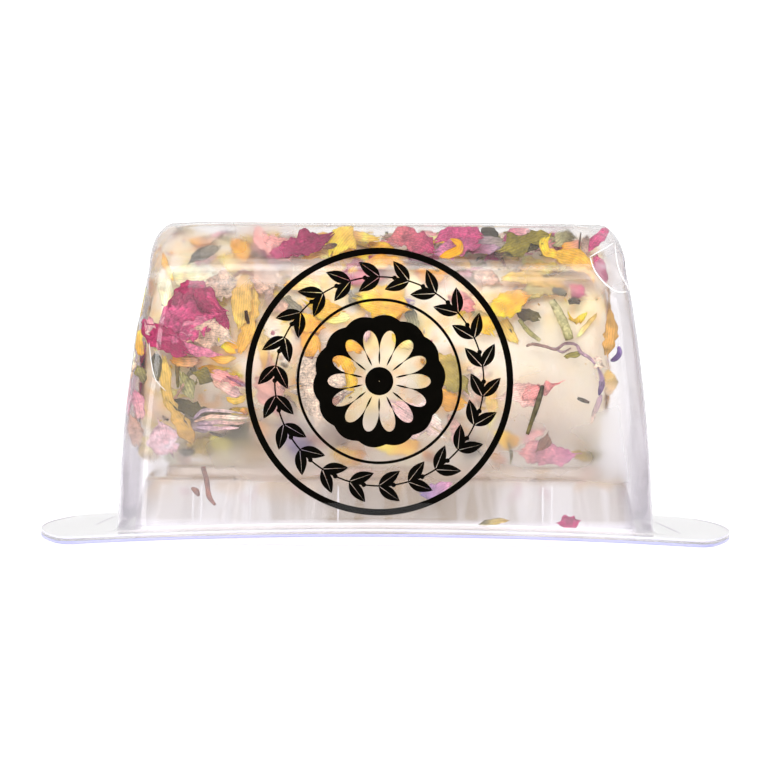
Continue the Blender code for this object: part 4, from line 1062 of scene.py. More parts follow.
def lay_rod(heap, first, last, spine, place, seed, step):
    """A round stem, or a seed where it is short, along a line of (u, v, width)."""
    sides, flat = 8, 0.75
    line = smooth_line(spine, step)
    rows = len(line)
    along = np.linspace(0, 1, rows)
    trace = np.column_stack([along * 9, np.full(rows, seed), np.zeros(rows)])
    half = line[:, 2] / 2 * (1 + 0.1 * soft_noise(trace, 1, 41))
    middle = place(line[:, 0], line[:, 1], half * flat)
    forward = np.gradient(middle, axis=0)
    forward /= np.linalg.norm(forward, axis=1, keepdims=True)
    out = place(line[:, 0], line[:, 1], half * flat + 0.2) - middle
    out += np.array((0, -1e-3, 1e-3))
    out -= forward * np.sum(out * forward, axis=1, keepdims=True)
    out /= np.linalg.norm(out, axis=1, keepdims=True)
    sideways = np.cross(forward, out)
    turn = np.arange(sides) * 2 * math.pi / sides
    cos, sin = np.cos(turn)[None, :, None], np.sin(turn)[None, :, None]
    ring = cos * sideways[:, None] + flat * sin * out[:, None]
    points = middle[:, None] + ring * half[:, None, None]
    shade = np.broadcast_to(along[:, None], points.shape[:2])
    colours = tinted(first, last, shade, points, seed, 0.5)
    around = np.broadcast_to(turn[None, :] * half[:, None], shade.shape)
    grain = np.stack([shade * 10, around, np.zeros(shade.shape)], axis=-1)
    start = heap.count
    faces = grid_faces(rows, sides, closed=True, first=start)
    faces.append(list(range(start + sides - 1, start - 1, -1)))
    faces.append(list(range(start + (rows - 1) * sides, start + rows * sides)))
    heap.take(points, faces, colours, grain)


ROUND_KINDS = ("stem", "seed")


def lay(heap, kind, first, last, spine, place, crinkle, seed):
    """One piece of any kind."""
    if kind in ROUND_KINDS:
        lay_rod(heap, first, last, spine, place, seed, 0.25 if kind == "seed" else 0.6)
    else:
        lay_sheet(heap, kind, first, last, spine, place, crinkle, seed)


def straight_spine(length, width, turn, bend):
    """A middle line of that length through (0, 0), turned in degrees, tapering to its ends."""
    part = np.linspace(-0.5, 0.5, 4)
    swing = bend * length * (part ** 2 - 0.08)
    cos, sin = math.cos(math.radians(turn)), math.sin(math.radians(turn))
    full = width * (1 - 1.6 * np.abs(part) ** 2.2)
    return np.column_stack([part * length * cos - swing * sin, part * length * sin + swing * cos, full])


SHEET_THICKNESS = 0.14

# Where the seeds of each group of pieces start
FRONT_SEED, ELSEWHERE_SEED, ENDS_SEED, FALLEN_SEED, SCATTER_SEED, UPPER_SEED = 500, 700, 730, 760, 1000, 3000


def petal_spine(length, width, turn):
    """The middle line of a large petal, along its longer way."""
    return straight_spine(max(length, width), min(length, width), turn + (90 if width > length else 0), 0.1)


def thickness_of(kind):
    """How thick a kind's sheets are. Stems and seeds are round already."""
    return 0 if kind in ROUND_KINDS else SHEET_THICKNESS


def make_front_pieces(heaps, finishes):
    """The pieces seen in the photo. Those that stand for a CAD node become pieces of their own."""
    own = {}

    def heap_of(node, kind):
        return own.setdefault(node, {}).setdefault(kind, Gathered()) if node else heaps[kind]

    for seed, (node, kind, first, last, share, crinkle, spine) in enumerate(FRONT, FRONT_SEED):
        lay(heap_of(node, kind), kind, first, last, spine, front_place(share), crinkle, seed)
    for seed, (node, kind, first, last, *spot, length, width, turn) in enumerate(ELSEWHERE, ELSEWHERE_SEED):
        spine = petal_spine(length, width, turn)
        lay(heap_of(node, kind), kind, first, last, spine, side_place(*spot, 0.5), 0.5, seed)
    for seed, (node, kind, first, last, *spot, length, width, turn) in enumerate(ON_ENDS, ENDS_SEED):
        spine = petal_spine(length, width, turn)
        lay(heap_of(node, kind), kind, first, last, spine, end_place(*spot, 0.4), 0.4, seed)
    for seed, (node, kind, first, last, spine) in enumerate(FALLEN, FALLEN_SEED):
        lay(heap_of(node, kind), kind, first, last, spine, slot_place, 0.15, seed)
    for node, kinds in own.items():
        for kind, heap in kinds.items():
            piece = heap.make(f"{node}_{kind}_tissue", finishes[kind], KINDS[kind][5], thickness_of(kind))
            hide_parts(node)


DARK_KINDS = ("rose", "cornflower", "leaf", "stem", "seed")

# Where the curd shows bare in front: x, height, reach
BARE = (
    (-29.5, 25.0, 5.0), (31.0, 27.0, 14.5), (7.0, 43.0, 4.5), (-33.0, 16.5, 3.5), (-1.5, 37.0, 3.5),
    (16.0, 21.0, 3.5),
)


def bare(x, degrees):
    """Whether a place on the log's side lies in a bare patch of its front."""
    if not 0 < degrees < 180:
        return False
    height = LOG_AXIS + LOG_RADIUS * math.cos(math.radians(degrees))
    return any(math.hypot(x - place_x, height - place_z) < reach for place_x, place_z, reach in BARE)


# How many of the scattered pieces lie on either end, and how far from an end's middle they reach
ON_RIGHT_END, ON_EITHER_END, END_REACH = 0.1, 0.22, 17.5
# How many of those that would lie in front move to the back, for dark kinds and the others
DARK_MOVED, OTHERS_MOVED = 0.88, 0.45


def scatter(heaps):
    """Smaller pieces pressed all round the log and on its ends, by seeded draws."""
    draw = np.random.default_rng(77)
    for kind, (_, _, widths, lengths, count, _) in KINDS.items():
        colours = SCATTER_COLOURS[kind]
        for number in range(count):
            length, width = draw.uniform(*lengths), draw.uniform(*widths)
            first, last = draw.choice(colours, 2)
            turn, bend = draw.uniform(0, 180), draw.uniform(-0.3, 0.3)
            spine = straight_spine(length, width, turn, bend=bend)
            lift, crinkle = draw.uniform(0.05, 0.7), draw.uniform(0.15, 0.5)
            spot = draw.uniform(0, 1)
            if spot < ON_EITHER_END:
                side = 1 if spot < ON_RIGHT_END else -1
                reach, angle = END_REACH * math.sqrt(draw.uniform(0, 1)), draw.uniform(-2.6, 2.6)
                place = end_place(side, -reach * math.sin(angle), LOG_AXIS + reach * math.cos(angle), lift)
            else:
                x, degrees = draw.uniform(-39, 36), draw.uniform(-142, 142)
                if x < -22 and 0 < degrees < 50 and draw.uniform(0, 1) < 0.6:
                    degrees = -degrees
                chance = DARK_MOVED if kind in DARK_KINDS else OTHERS_MOVED
                if bare(x, degrees) or (40 < degrees < 142 and draw.uniform(0, 1) < chance):
                    degrees = -degrees
                if 25 < degrees < 142:
                    lift *= 0.3
                place = side_place(x, degrees, lift)
            lay(heaps[kind], kind, first, last, spine, place, crinkle, SCATTER_SEED + number)


# How many more pieces of each kind cover the upper front and back, where the cover presses them
UPPER_PIECES = {"marigold": 46, "pink": 20, "rose": 12, "straw": 16, "leaf": 18, "cornflower": 6, "stem": 10}


def thicken_top(heaps):
    """More and larger pieces over the log's upper front and back."""
    draw = np.random.default_rng(58)
    for kind, count in UPPER_PIECES.items():
        widths, lengths = KINDS[kind][2:4]
        for number in range(count):
            first, last = draw.choice(SCATTER_COLOURS[kind], 2)
            spine = straight_spine(draw.uniform(*lengths), draw.uniform(*widths), draw.uniform(-40, 40),
                                   bend=draw.uniform(-0.3, 0.3))
            place = side_place(draw.uniform(-26, 35), draw.choice((-1, 1)) * draw.uniform(14, 52),
                               draw.uniform(0.2, 1.1))
            lay(heaps[kind], kind, first, last, spine, place, draw.uniform(0.3, 0.7),
                UPPER_SEED + number)


def chip_shape():
    """A small solid of 20 triangles, for crumbs."""
    golden = (1 + math.sqrt(5)) / 2
    points = []
    for a, b in itertools.product((-1, 1), (-golden, golden)):
        points += [(0, a, b), (a, b, 0), (b, 0, a)]
    points = np.array(points) / math.hypot(1, golden)
    near = 1.06
    faces = []
    for i, j, k in itertools.combinations(range(12), 3):
        gaps = [np.linalg.norm(points[a] - points[b]) for a, b in ((i, j), (j, k), (i, k))]
        if max(gaps) < near:
            out = np.dot(np.cross(points[j] - points[i], points[k] - points[i]), points[i])
            faces.append((i, j, k) if out > 0 else (i, k, j))
    return points, np.array(faces)


CRUMBS = 1900
CRUMBS_ON_ENDS = 0.12


def make_crumbs(finish):
    """Crumbs of petals, leaves and cheese too small to be sheets."""
    shape, faces = chip_shape()
    draw = np.random.default_rng(91)
    heap = Gathered()
    names = ("yellow", "orange", "amber", "rose", "salmon", "straw", "olive", "moss", "umber", "violet",
             "cream", "cream", "shell", "tan pink", "dull yellow", "pale yellow", "ochre", "bark", "sage")
    for _ in range(CRUMBS):
        size = draw.uniform(0.12, 0.42) * draw.uniform(0.7, 1.3)
        stretch = np.array((draw.uniform(0.8, 2.2), draw.uniform(0.5, 1.2), draw.uniform(0.25, 0.6)))
        turn = draw.uniform(0, 2 * math.pi)
        local = shape * stretch * size * draw.uniform(0.8, 1.2, (12, 1))
        u = local[:, 0] * math.cos(turn) - local[:, 1] * math.sin(turn)
        v = local[:, 0] * math.sin(turn) + local[:, 1] * math.cos(turn)
        if draw.uniform(0, 1) < CRUMBS_ON_ENDS:
            side = 1 if draw.uniform(0, 1) < 0.5 else -1
            reach, angle = 18.5 * math.sqrt(draw.uniform(0, 1)), draw.uniform(-2.5, 2.5)
            z = LOG_AXIS + reach * math.cos(angle) + v
            x = log_end(side, z) + side * (local[:, 2] + 0.05)
            points = np.stack([x, -reach * math.sin(angle) + u, z], axis=-1)
        else:
            x, degrees = draw.uniform(-41, 38), draw.uniform(-144, 144)
            if bare(x, degrees) and draw.uniform(0, 1) < 0.85:
                degrees = -degrees
            points = on_log(x + u, math.radians(degrees) - v / LOG_RADIUS, local[:, 2] + 0.06)
        colour = np.array(linear(COLOURS[draw.choice(names)])[:3]) * draw.uniform(0.75, 1.1)
        heap.take(points, (faces + heap.count).tolist(), np.tile(np.clip(colour, 0, 0.95), (12, 1)),
                  np.tile((u.mean(), v.mean(), draw.uniform(0, 1)), (12, 1)))
    return heap.make("petal_crumbs", finish, "dried_herb")


# The print on the cover's front


PRINT_CENTRE = (-1.2, 28.7)
PRINT_RADIUS = 23.7
PRINT_LINE = 1.15
PRINT_INNER = 14.4
PRINT_INNER_LINE = 0.5
INK_HEIGHT = 0.04
SPRAYS = 22
SPRAY_SPLAY = 0.62
SPRAY_LEAF = (4.6, 2.1)
SPRAY_DOT = 0.42
DAISY_PETALS = 14
DISC_EDGE = (11.2, 0.55)
DAISY_REACH = (4.2, 4.9)
DAISY_EYE = 2.5


def on_front(x, height):
    """Points on the outside of the cover's front, following its waves."""
    _, depth, _ = formed_section(height)
    slope = (formed_section(height + 0.1)[1] - formed_section(height - 0.1)[1]) / 0.2
    flat = np.stack([x, -depth, height], axis=-1)
    out = np.stack([0 * x, -np.ones_like(x), -slope], axis=-1)
    out /= np.linalg.norm(out, axis=-1, keepdims=True)
    return flat + out * (INK_HEIGHT - film_sag(flat))[..., None]


def circle(steps):
    """Points once round a circle of radius 1, the last on the first."""
    turn = np.linspace(0, 2 * math.pi, steps)
    return np.stack([np.cos(turn), np.sin(turn)], axis=1)


class Ink:
    """Flat printed shapes, gathered to become one mesh on the cover's front."""

    def __init__(self):
        self.points, self.faces, self.count = [], [], 0

    def band(self, inner, outer):
        """A strip between two lines of the same number of points, as places from the print's centre."""
        share = np.linspace(0, 1, 4)[None, :, None]
        flat = inner[:, None] * (1 - share) + outer[:, None] * share
        rows, columns = flat.shape[:2]
        self.faces += grid_faces(rows, columns, first=self.count)
        self.points.append(flat.reshape(-1, 2))
        self.count += rows * columns

    def ring(self, radius, line, steps=300):
        way = circle(steps)
        self.band(way * (radius - line / 2), way * (radius + line / 2))

    def leaf(self, place, turn, length, width, slit=0.12):
        """A pointed leaf in two halves, with its mid rib left clear."""
        part = np.linspace(0, 1, 15)
        half = width / 2 * np.sin(math.pi * part ** 0.85) ** 0.9
        rib = slit / 2 * (1 - part)
        for sign in (-1, 1):
            near = np.stack([part * length, sign * np.minimum(rib, half)], axis=1)
            far = np.stack([part * length, sign * np.maximum(half, 0.01)], axis=1)
            self.band(turned(near, turn) + place, turned(far, turn) + place)

    def disc(self, place, radius, steps=28):
        way = circle(steps)
        self.band(place + way * radius * 0.02, place + way * radius)

    def make(self, name, finish):
        flat = np.vstack(self.points)
        x, z = flat[:, 0] + PRINT_CENTRE[0], flat[:, 1] + PRINT_CENTRE[1]
        return new_piece(name, on_front(x, z), [face[::-1] for face in self.faces], [finish])


def turned(points, turn):
    """Flat points turned about the origin."""
    cos, sin = math.cos(turn), math.sin(turn)
    return points @ np.array(((cos, sin), (-sin, cos)))


def make_print(finish):
    """A generic badge: two rings, a wreath of paired leaves with dots between them, a daisy on a disc."""
    ink = Ink()
    ink.ring(PRINT_RADIUS - PRINT_LINE / 2, PRINT_LINE)
    ink.ring(PRINT_INNER, PRINT_INNER_LINE)
    middle = (PRINT_RADIUS - PRINT_LINE + PRINT_INNER) / 2
    for number in range(SPRAYS):
        turn = 2 * math.pi * number / SPRAYS + math.pi / 2
        root = middle * np.array((math.cos(turn), math.sin(turn)))
        for splay in (-SPRAY_SPLAY, SPRAY_SPLAY):
            ink.leaf(root, turn + math.pi / 2 + splay, *SPRAY_LEAF)
        tip = turn + math.pi / SPRAYS
        ink.disc(middle * np.array((math.cos(tip), math.sin(tip))), SPRAY_DOT)
    ink.ring(middle, 0.28, 240)
    # The disc's edge is scalloped, and the daisy's petals are left clear in it
    steps = 40 * DAISY_PETALS
    turn, way = np.linspace(0, 2 * math.pi, steps), circle(steps)
    scallop = DISC_EDGE[0] + DISC_EDGE[1] * np.abs(np.sin(DAISY_PETALS * turn / 2 + math.pi / 4))
    reach = DAISY_REACH[0] + DAISY_REACH[1] * np.abs(np.cos(DAISY_PETALS * turn / 2)) ** 0.42
    ink.band(way * reach[:, None], way * scallop[:, None])
    for number in range(DAISY_PETALS):
        gap = math.pi * (2 * number + 1) / DAISY_PETALS
        ink.leaf(3.0 * np.array((math.cos(gap), math.sin(gap))), gap, 2.6, 0.34, slit=0.0)
    ink.disc(np.zeros(2), DAISY_EYE, 48)
    return ink.make("printed_badge", finish)


# Ridges in the film: white folds, partly stress-whitened film and partly painted highlights; white ribs that
# are painted highlights; and scored lines


# White folds at the knocked-flat corner and on the left, partly stress-whitened film and partly painted
# highlights: name, radius and points as seen from the front
FOLDS = (
    ("fold_corner_low", 0.15, ((36.2, 50.9), (37.4, 48.9), (39.2, 46.6), (41.2, 45.0), (42.9, 44.7))),
    ("fold_corner_top", 0.12, ((36.2, 50.9), (38.2, 52.2), (40.6, 53.6))),
    ("fold_corner_side", 0.12, ((40.7, 53.4), (41.6, 50.2), (42.4, 47.2), (43.1, 44.9))),
    ("fold_left", 0.08, ((-42.2, 35.2), (-41.8, 31.6), (-41.0, 28.6), (-39.2, 26.6))),
)


# White ribs on the pedestal's front, painted highlights standing where light catches it: x and radius
RIB_LOW, RIB_HIGH = 3.4, 9.9
HIGHLIGHT_RIBS = ((-34.2, 0.14), (-32.7, 0.2), (-24.0, 0.12), (-8.4, 0.16), (28.0, 0.2), (29.6, 0.14))

# Lines scored across the tabs, as points in plan
TAB_SCORES = (
    ("tab_score_left", ((-51.4, 18.8), (-52.4, 8.0), (-53.1, -2.5))),
    ("tab_score_right", ((50.5, 10.6), (51.8, -3.0), (52.9, -17.6))),
)


def lay_ridge(name, line, radius, away, finish):
    """A low ridge of film along a line of points, standing out from it one way."""
    away = np.array(away, float)
    part = np.linspace(0, 1, len(line))
    half = radius * (0.35 + 0.65 * np.sin(math.pi * part) ** 0.5)
    forward = np.gradient(line, axis=0)
    forward /= np.linalg.norm(forward, axis=1, keepdims=True)
    out = away - forward * (forward @ away)[:, None]
    out /= np.linalg.norm(out, axis=1, keepdims=True)
    sideways = np.cross(forward, out)
    turn = np.arange(8) * math.pi / 4
    cos, sin = np.cos(turn)[None, :, None], np.sin(turn)[None, :, None]
    ring = cos * sideways[:, None] + 0.5 * sin * out[:, None]
    points = line[:, None] + ring * half[:, None, None]
    faces = grid_faces(len(line), 8, closed=True)
    faces += [list(range(7, -1, -1)), list(range(8 * (len(line) - 1), 8 * len(line)))]
    new_piece(name, points.reshape(-1, 3), faces, [finish])


def make_folds(white, scored):
    """Film whitened along sharp folds, placed as they show from the front, its white partly stress whitening
    and partly painted highlight; white ribs on the pedestal's front that are painted highlights; and the
    lines scored across the tabs and along their far edges."""
    for name, radius, places in FOLDS:
        path = smooth_line([(x, z, 0) for x, z in places], 0.4)
        depth = np.full(len(path), -20.0)
        for _ in range(8):
            along, up = seen_at(path[:, 0], path[:, 1], depth)
            depth = -front_depth(along, up)
        skin = knocked_flat(np.stack([along, depth, up], axis=-1))
        lay_ridge(name, skin, radius, (0, -1, 0.1), white)
    # Painted highlights: white ribs on the pedestal's front.
    up = np.linspace(RIB_LOW, RIB_HIGH, 14)
    depth = pedestal_wall(1, (up - TOE_TOP) / (WALL_TOP - TOE_TOP))
    for number, (x, radius) in enumerate(HIGHLIGHT_RIBS):
        line = np.column_stack([np.full(len(up), x), 0.05 - depth, up])
        lay_ridge(f"pedestal_highlight_rib_{number + 1}", line, radius, (0, -1, 0), white)
    for name, places in TAB_SCORES:
        path = smooth_line(places, 0.6)
        line = np.column_stack([path, COVER_FLANGE_TOP + bow(path[:, 0], 0)])
        lay_ridge(name, line, 0.16, (0, 0, 1), scored)
    for name, side in (("tab_rim_left", -1), ("tab_rim_right", 1)):
        y = np.linspace(-6, 24, 60)
        x = side * (FLANGE_HALF_LENGTH + TAB_BULGE * (1 - (y / FLANGE_HALF_DEPTH) ** 2) - 0.3)
        line = np.column_stack([x, y, COVER_FLANGE_TOP + bow(x, 0)])
        lay_ridge(name, line, 0.2, (0, 0, 1), scored)


# Finishes


def lamps_pass(tree, shader):
    """Lets lamps and diffuse light through clear film, as they pass through real film."""
    path = add(tree, "LightPath")
    either = add(tree, "Math", [
        (0, path.outputs["Is Shadow Ray"]), (1, path.outputs["Is Diffuse Ray"])], operation="MAXIMUM")
    clear = add(tree, "BsdfTransparent", [("Color", linear("FAFAFC"))])
    mixed = add(tree, "MixShader", [(0, either), (1, shader), (2, clear)])
    add(tree, "OutputMaterial", [("Surface", mixed)])


def sheet_tint(tree, facing_code, grazing_code, hazed=None):
    """The sheet's own colour: next to none straight through, more round its upright corners, where
    the way through it is longer."""
    slant = add(tree, "LayerWeight", [("Blend", 0.5)]).outputs["Facing"]
    normal = add(tree, "NewGeometry").outputs["Normal"]
    rising = add(tree, "SeparateXYZ", [("Vector", normal)]).outputs[2]
    lying = add(tree, "Math", [(0, rising)], operation="ABSOLUTE")
    upright = add(tree, "Math", [(0, 1.0), (1, lying)], operation="SUBTRACT")
    both = add(tree, "Math", [(0, slant), (1, upright)], operation="MULTIPLY")
    share = add(tree, "Math", [(0, both), (1, 1.1)], operation="POWER")
    if hazed:
        share = add(tree, "Math", [(0, share), (1, hazed)], operation="MAXIMUM")
    return add(tree, "Mix", [
        (0, share), (6, linear(facing_code)), (7, linear(grazing_code))], data_type="RGBA").outputs[2]


def polished_pet(name):
    """PET film off a polished mould: clear, hard gloss outside, very faintly lavender."""
    made, tree = new_material(name)
    shader = add(tree, "BsdfPrincipled", [
        ("Base Color", sheet_tint(tree, "FEFDFD", "C9C1CD")), ("Roughness", 0.05), ("IOR", 1.5),
        ("Transmission Weight", 1.0)])
    lamps_pass(tree, shader)
    return made


# Where petals press on the cover's front and keep it clear: x, height, half width, half height
PRESSED = (
    (-34.0, 39.0, 9.0, 8.0), (-32.0, 24.0, 11.0, 6.0), (9.0, 53.0, 34.0, 3.6), (-12.0, 28.0, 7.0, 6.0),
    (29.0, 26.0, 10.0, 5.0), (30.0, 37.0, 11.0, 7.0), (29.0, 16.0, 8.0, 3.5), (5.0, 22.0, 6.0, 4.0),
)


def fogged_pet():
    """The cover's inner face, fogged in patches by moisture from the cheese: it blurs what stands
    away from it and leaves what touches it sharp. It is hazier low down, and smeared along its crease."""
    made, tree = new_material("fogged_pet_film")
    place = add(tree, "TexCoord").outputs["Object"]
    parts = add(tree, "SeparateXYZ", [("Vector", place)])
    height = parts.outputs[2]
    haze = add(tree, "MapRange", [("Value", height), (1, 6 * MM), (2, 34 * MM), (3, 0.13), (4, 0.015)],
               interpolation_type="SMOOTHSTEP")
    patches = add(tree, "TexNoise", [("Vector", place), ("Scale", per_metre(14)), ("Detail", 2.0)])
    fog = add(tree, "MapRange", [("Value", patches), (1, 0.35), (2, 0.65), (3, 0.1), (4, 0.4)])
    off_middle = add(tree, "Math", [(0, parts.outputs[0])], operation="ABSOLUTE")
    at_ends = add(tree, "MapRange", [
        ("Value", off_middle), (1, 41 * MM), (2, 43.5 * MM), (3, 1.0), (4, 0.45)])
    low_down = add(tree, "MapRange", [("Value", height), (1, 10 * MM), (2, 13 * MM), (3, 0.3), (4, 1.0)])
    kept = add(tree, "Math", [(0, at_ends), (1, low_down)], operation="MINIMUM")
    drops = add(tree, "TexNoise", [("Vector", place), ("Scale", per_metre(3)), ("Detail", 2.0)])
    for x, z, half_width, half_height in PRESSED:
        spot = add(tree, "Mapping", [
            ("Vector", place), ("Location", (-x / half_width, 0, -z / half_height)),
            ("Scale", (1 / half_width / MM, 0, 1 / half_height / MM))])
        gap = add(tree, "VectorMath", [(0, spot)], operation="LENGTH").outputs["Value"]
        uneven = add(tree, "Math", [(0, drops), (1, 0.7), (2, gap)], operation="MULTIPLY_ADD")
        cleared = add(tree, "MapRange", [("Value", uneven), (1, 0.9), (2, 1.55), (3, 0.22), (4, 1.0)])
        kept = add(tree, "Math", [(0, kept), (1, cleared)], operation="MINIMUM")
    misted = add(tree, "Math", [(0, fog), (1, kept)], operation="MULTIPLY")
    rough = add(tree, "Math", [(0, haze), (1, 0.7), (2, misted)], operation="MULTIPLY_ADD")
    drawn = add(tree, "Mapping", [("Vector", place), ("Scale", (0.05, 1.0, 1.0))])
    smears = add(tree, "TexNoise", [("Vector", drawn), ("Scale", per_metre(1.5)), ("Detail", 3.0)])
    streak = add(tree, "MapRange", [("Value", smears), (1, 0.45), (2, 0.7), (3, 0.0), (4, 0.3)])
    below = add(tree, "MapRange", [("Value", height), (1, 43 * MM), (2, 48 * MM), (3, 0.0), (4, 1.0)])
    above = add(tree, "MapRange", [("Value", height), (1, 49.5 * MM), (2, 51.5 * MM), (3, 1.0), (4, 0.0)])
    along_crease = add(tree, "Math", [(0, below), (1, above)], operation="MULTIPLY")
    veil = add(tree, "Math", [(0, streak), (1, along_crease), (2, haze)], operation="MULTIPLY_ADD")
    clearness = add(tree, "Math", [(0, 1.0), (1, veil)], operation="SUBTRACT")
    # The sheet's colour greys toward lavender low down, darker towards the bottom, in step with the haze and
    # not on the flange.
    lifted = add(tree, "MapRange", [("Value", height), (1, 3.1 * MM), (2, 4.4 * MM), (3, 0.0), (4, 3.6)])
    greyed_low_down = add(tree, "Math", [(0, haze), (1, lifted)], operation="MULTIPLY")
    shader = add(tree, "BsdfPrincipled", [
        ("Base Color", sheet_tint(tree, "FDFBF9", "C2BCC6", greyed_low_down)), ("Roughness", rough), ("IOR", 1.5),
        ("Transmission Weight", clearness)])
    lamps_pass(tree, shader)
    return made


# Painted shade and reflection on the pedestal, tan towards its middle, its two ends first: x, share
SHADED_PEDESTAL = (
    (-45.0, 0.3), (45.0, 0.3), (-40.0, 0.05), (-33.0, 0.0), (-25.0, 0.08), (-23.2, 0.38), (-21.5, 0.24),
    (-14.0, 0.52), (-9.0, 0.94), (3.0, 1.0), (8.0, 0.78), (16.0, 0.72), (21.0, 0.38), (27.0, 0.1),
    (29.0, 0.0), (39.5, 0.03),
)


def smeared_and_shaded_pet(name):
    """The tray's inner face: hazy all over its pedestal, with painted shade and reflection in tan towards
    the middle and in upright panels, painted shade in dark lines along its steps, tan along the top of its
    wall, and petal juice dried pink and yellow in patches high on its walls."""
    made, tree = new_material(name)
    place = add(tree, "TexCoord").outputs["Object"]
    parts = add(tree, "SeparateXYZ", [("Vector", place)])
    height = parts.outputs[2]
    haze = add(tree, "MapRange", [("Value", height), (1, 1.5 * MM), (2, 4 * MM), (3, 0.04), (4, 0.42)],
               interpolation_type="SMOOTHSTEP")
    # Painted shade and reflection: the pedestal's colour turns tan towards its middle, by the shares above.
    along = add(tree, "MapRange", [
        ("Value", parts.outputs[0]), (1, -45 * MM), (2, 45 * MM), (3, 0.0), (4, 1.0)])
    dried = add(tree, "ValToRGB", [("Fac", along)])
    for number, (x, share) in enumerate(SHADED_PEDESTAL):
        stops = dried.color_ramp.elements
        stop = stops[number] if number < 2 else stops.new(1.0)
        stop.position = (x + 45) / 90
        stop.color = (share, share, share, 1.0)
    # Painted shade and reflection in upright panels, lighter and darker across the walls.
    upright = add(tree, "Mapping", [("Vector", place), ("Scale", (1.0, 0.3, 0.12))])
    shade_panels = add(tree, "TexNoise", [("Vector", upright), ("Scale", per_metre(4)), ("Detail", 1.0)])
    shade_panel = add(tree, "MapRange", [("Value", shade_panels), (1, 0.46), (2, 0.56), (3, -0.16), (4, 0.2)])
    warm = add(tree, "Math", [(0, dried), (1, shade_panel)], operation="ADD", use_clamp=True)
    tone = add(tree, "Mix", [
        (0, warm), (6, linear("F5F3ED")), (7, linear("987E52"))], data_type="RGBA").outputs[2]
    high = add(tree, "MapRange", [("Value", height), (1, 6 * MM), (2, 12 * MM), (3, 0.0), (4, 0.75)])
    for size, code, start in ((6.0, "D9A84E", 0.54), (5.0, "C97A92", 0.57)):
        spots = add(tree, "TexNoise", [("Vector", place), ("Scale", per_metre(size)), ("Detail", 1.0)])
        shown = add(tree, "MapRange", [("Value", spots), (1, start), (2, start + 0.12), (3, 0.0), (4, 1.0)])
        share = add(tree, "Math", [(0, shown), (1, high)], operation="MULTIPLY")
        tone = add(tree, "Mix", [(0, share), (6, tone), (7, linear(code))], data_type="RGBA").outputs[2]
    ledge = add(tree, "MapRange", [("Value", height), (1, 9.5 * MM), (2, 11.2 * MM), (3, 0.0), (4, 0.6)])
    tone = add(tree, "Mix", [(0, ledge), (6, tone), (7, linear("D0AC78"))], data_type="RGBA").outputs[2]
    # Painted shade: dark tan lines along the rounded edges of the platform's and the ledge's steps.
    for step in (PLATFORM_HEIGHT - 0.15, LEDGE_HEIGHT - 0.1):
        near = add(tree, "Math", [(0, height), (1, step * MM), (2, 0.28 * MM)], operation="COMPARE")
        line = add(tree, "Math", [(0, near), (1, 0.7)], operation="MULTIPLY")
        tone = add(tree, "Mix", [(0, line), (6, tone), (7, linear("A07C4A"))], data_type="RGBA").outputs[2]
    flange = add(tree, "MapRange", [("Value", height), (1, 3.0 * MM), (2, 4.0 * MM), (3, 0.0), (4, 1.0)])
    tone = add(tree, "Mix", [(0, flange), (6, linear("F8F6FA")), (7, tone)], data_type="RGBA").outputs[2]
    clearness = add(tree, "Math", [(0, 1.0), (1, haze)], operation="SUBTRACT")
    rough = add(tree, "Math", [(0, haze), (1, 0.7), (2, 0.12)], operation="MULTIPLY_ADD")
    shader = add(tree, "BsdfPrincipled", [
        ("Base Color", tone), ("Roughness", rough), ("IOR", 1.5), ("Transmission Weight", clearness)])
    lamps_pass(tree, shader)
    return made


def cut_pet_edge(name, code, roughness=0.3):
    """The die-cut edge of the sheet, where light that runs along inside it comes out lavender."""
    made, tree = new_material(name)
    shader = add(tree, "BsdfPrincipled", [
        ("Base Color", linear(code)), ("Roughness", roughness), ("IOR", 1.5), ("Transmission Weight", 0.15)])
    add(tree, "OutputMaterial", [("Surface", shader)])
    return made


def whitened_and_highlight_pet():
    """Film folded so sharply that it crazed white, used also as painted highlights: dense like a cut edge,
    but smoother.
    """
    return cut_pet_edge("stress_whitened_and_highlight_pet", "FFFDFA", 0.2)


def printing_ink():
    """Black flexographic ink: dense, slightly warm and a little glossy on the film."""
    made, tree = new_material("black_flexo_ink")
    place = add(tree, "TexCoord").outputs["Object"]
    mottle = add(tree, "TexNoise", [("Vector", place), ("Scale", per_metre(2.5)), ("Detail", 3.0)])
    tone = add(tree, "Mix", [
        (0, mottle), (6, linear("030302")), (7, linear("0B0906"))], data_type="RGBA").outputs[2]
    shader = add(tree, "BsdfPrincipled", [("Base Color", tone), ("Roughness", 0.35), ("IOR", 1.06)])
    lamps_pass(tree, shader)
    return made


def fresh_curd():
    """Fresh goat curd: moist, fine-grained, cream white, faintly stained round the petals."""
    made, tree = new_material("fresh_goat_curd")
    place = add(tree, "TexCoord").outputs["Object"]
    stain = add(tree, "Attribute", attribute_name="stain").outputs["Color"]
    grain = add(tree, "TexNoise", [("Vector", place), ("Scale", per_metre(0.55)), ("Detail", 4.0)])
    fine = add(tree, "Bump", [("Height", grain), ("Strength", 0.35), ("Distance", 0.25 * MM)])
    shader = add(tree, "BsdfPrincipled", [
        ("Base Color", stain), ("Roughness", 0.5), ("IOR", 1.42), ("Normal", fine),
        ("Subsurface Weight", 0.3), ("Subsurface Radius", (1.0, 0.75, 0.5)), ("Subsurface Scale", 1.2 * MM)])
    add(tree, "OutputMaterial", [("Surface", shader)])
    return made


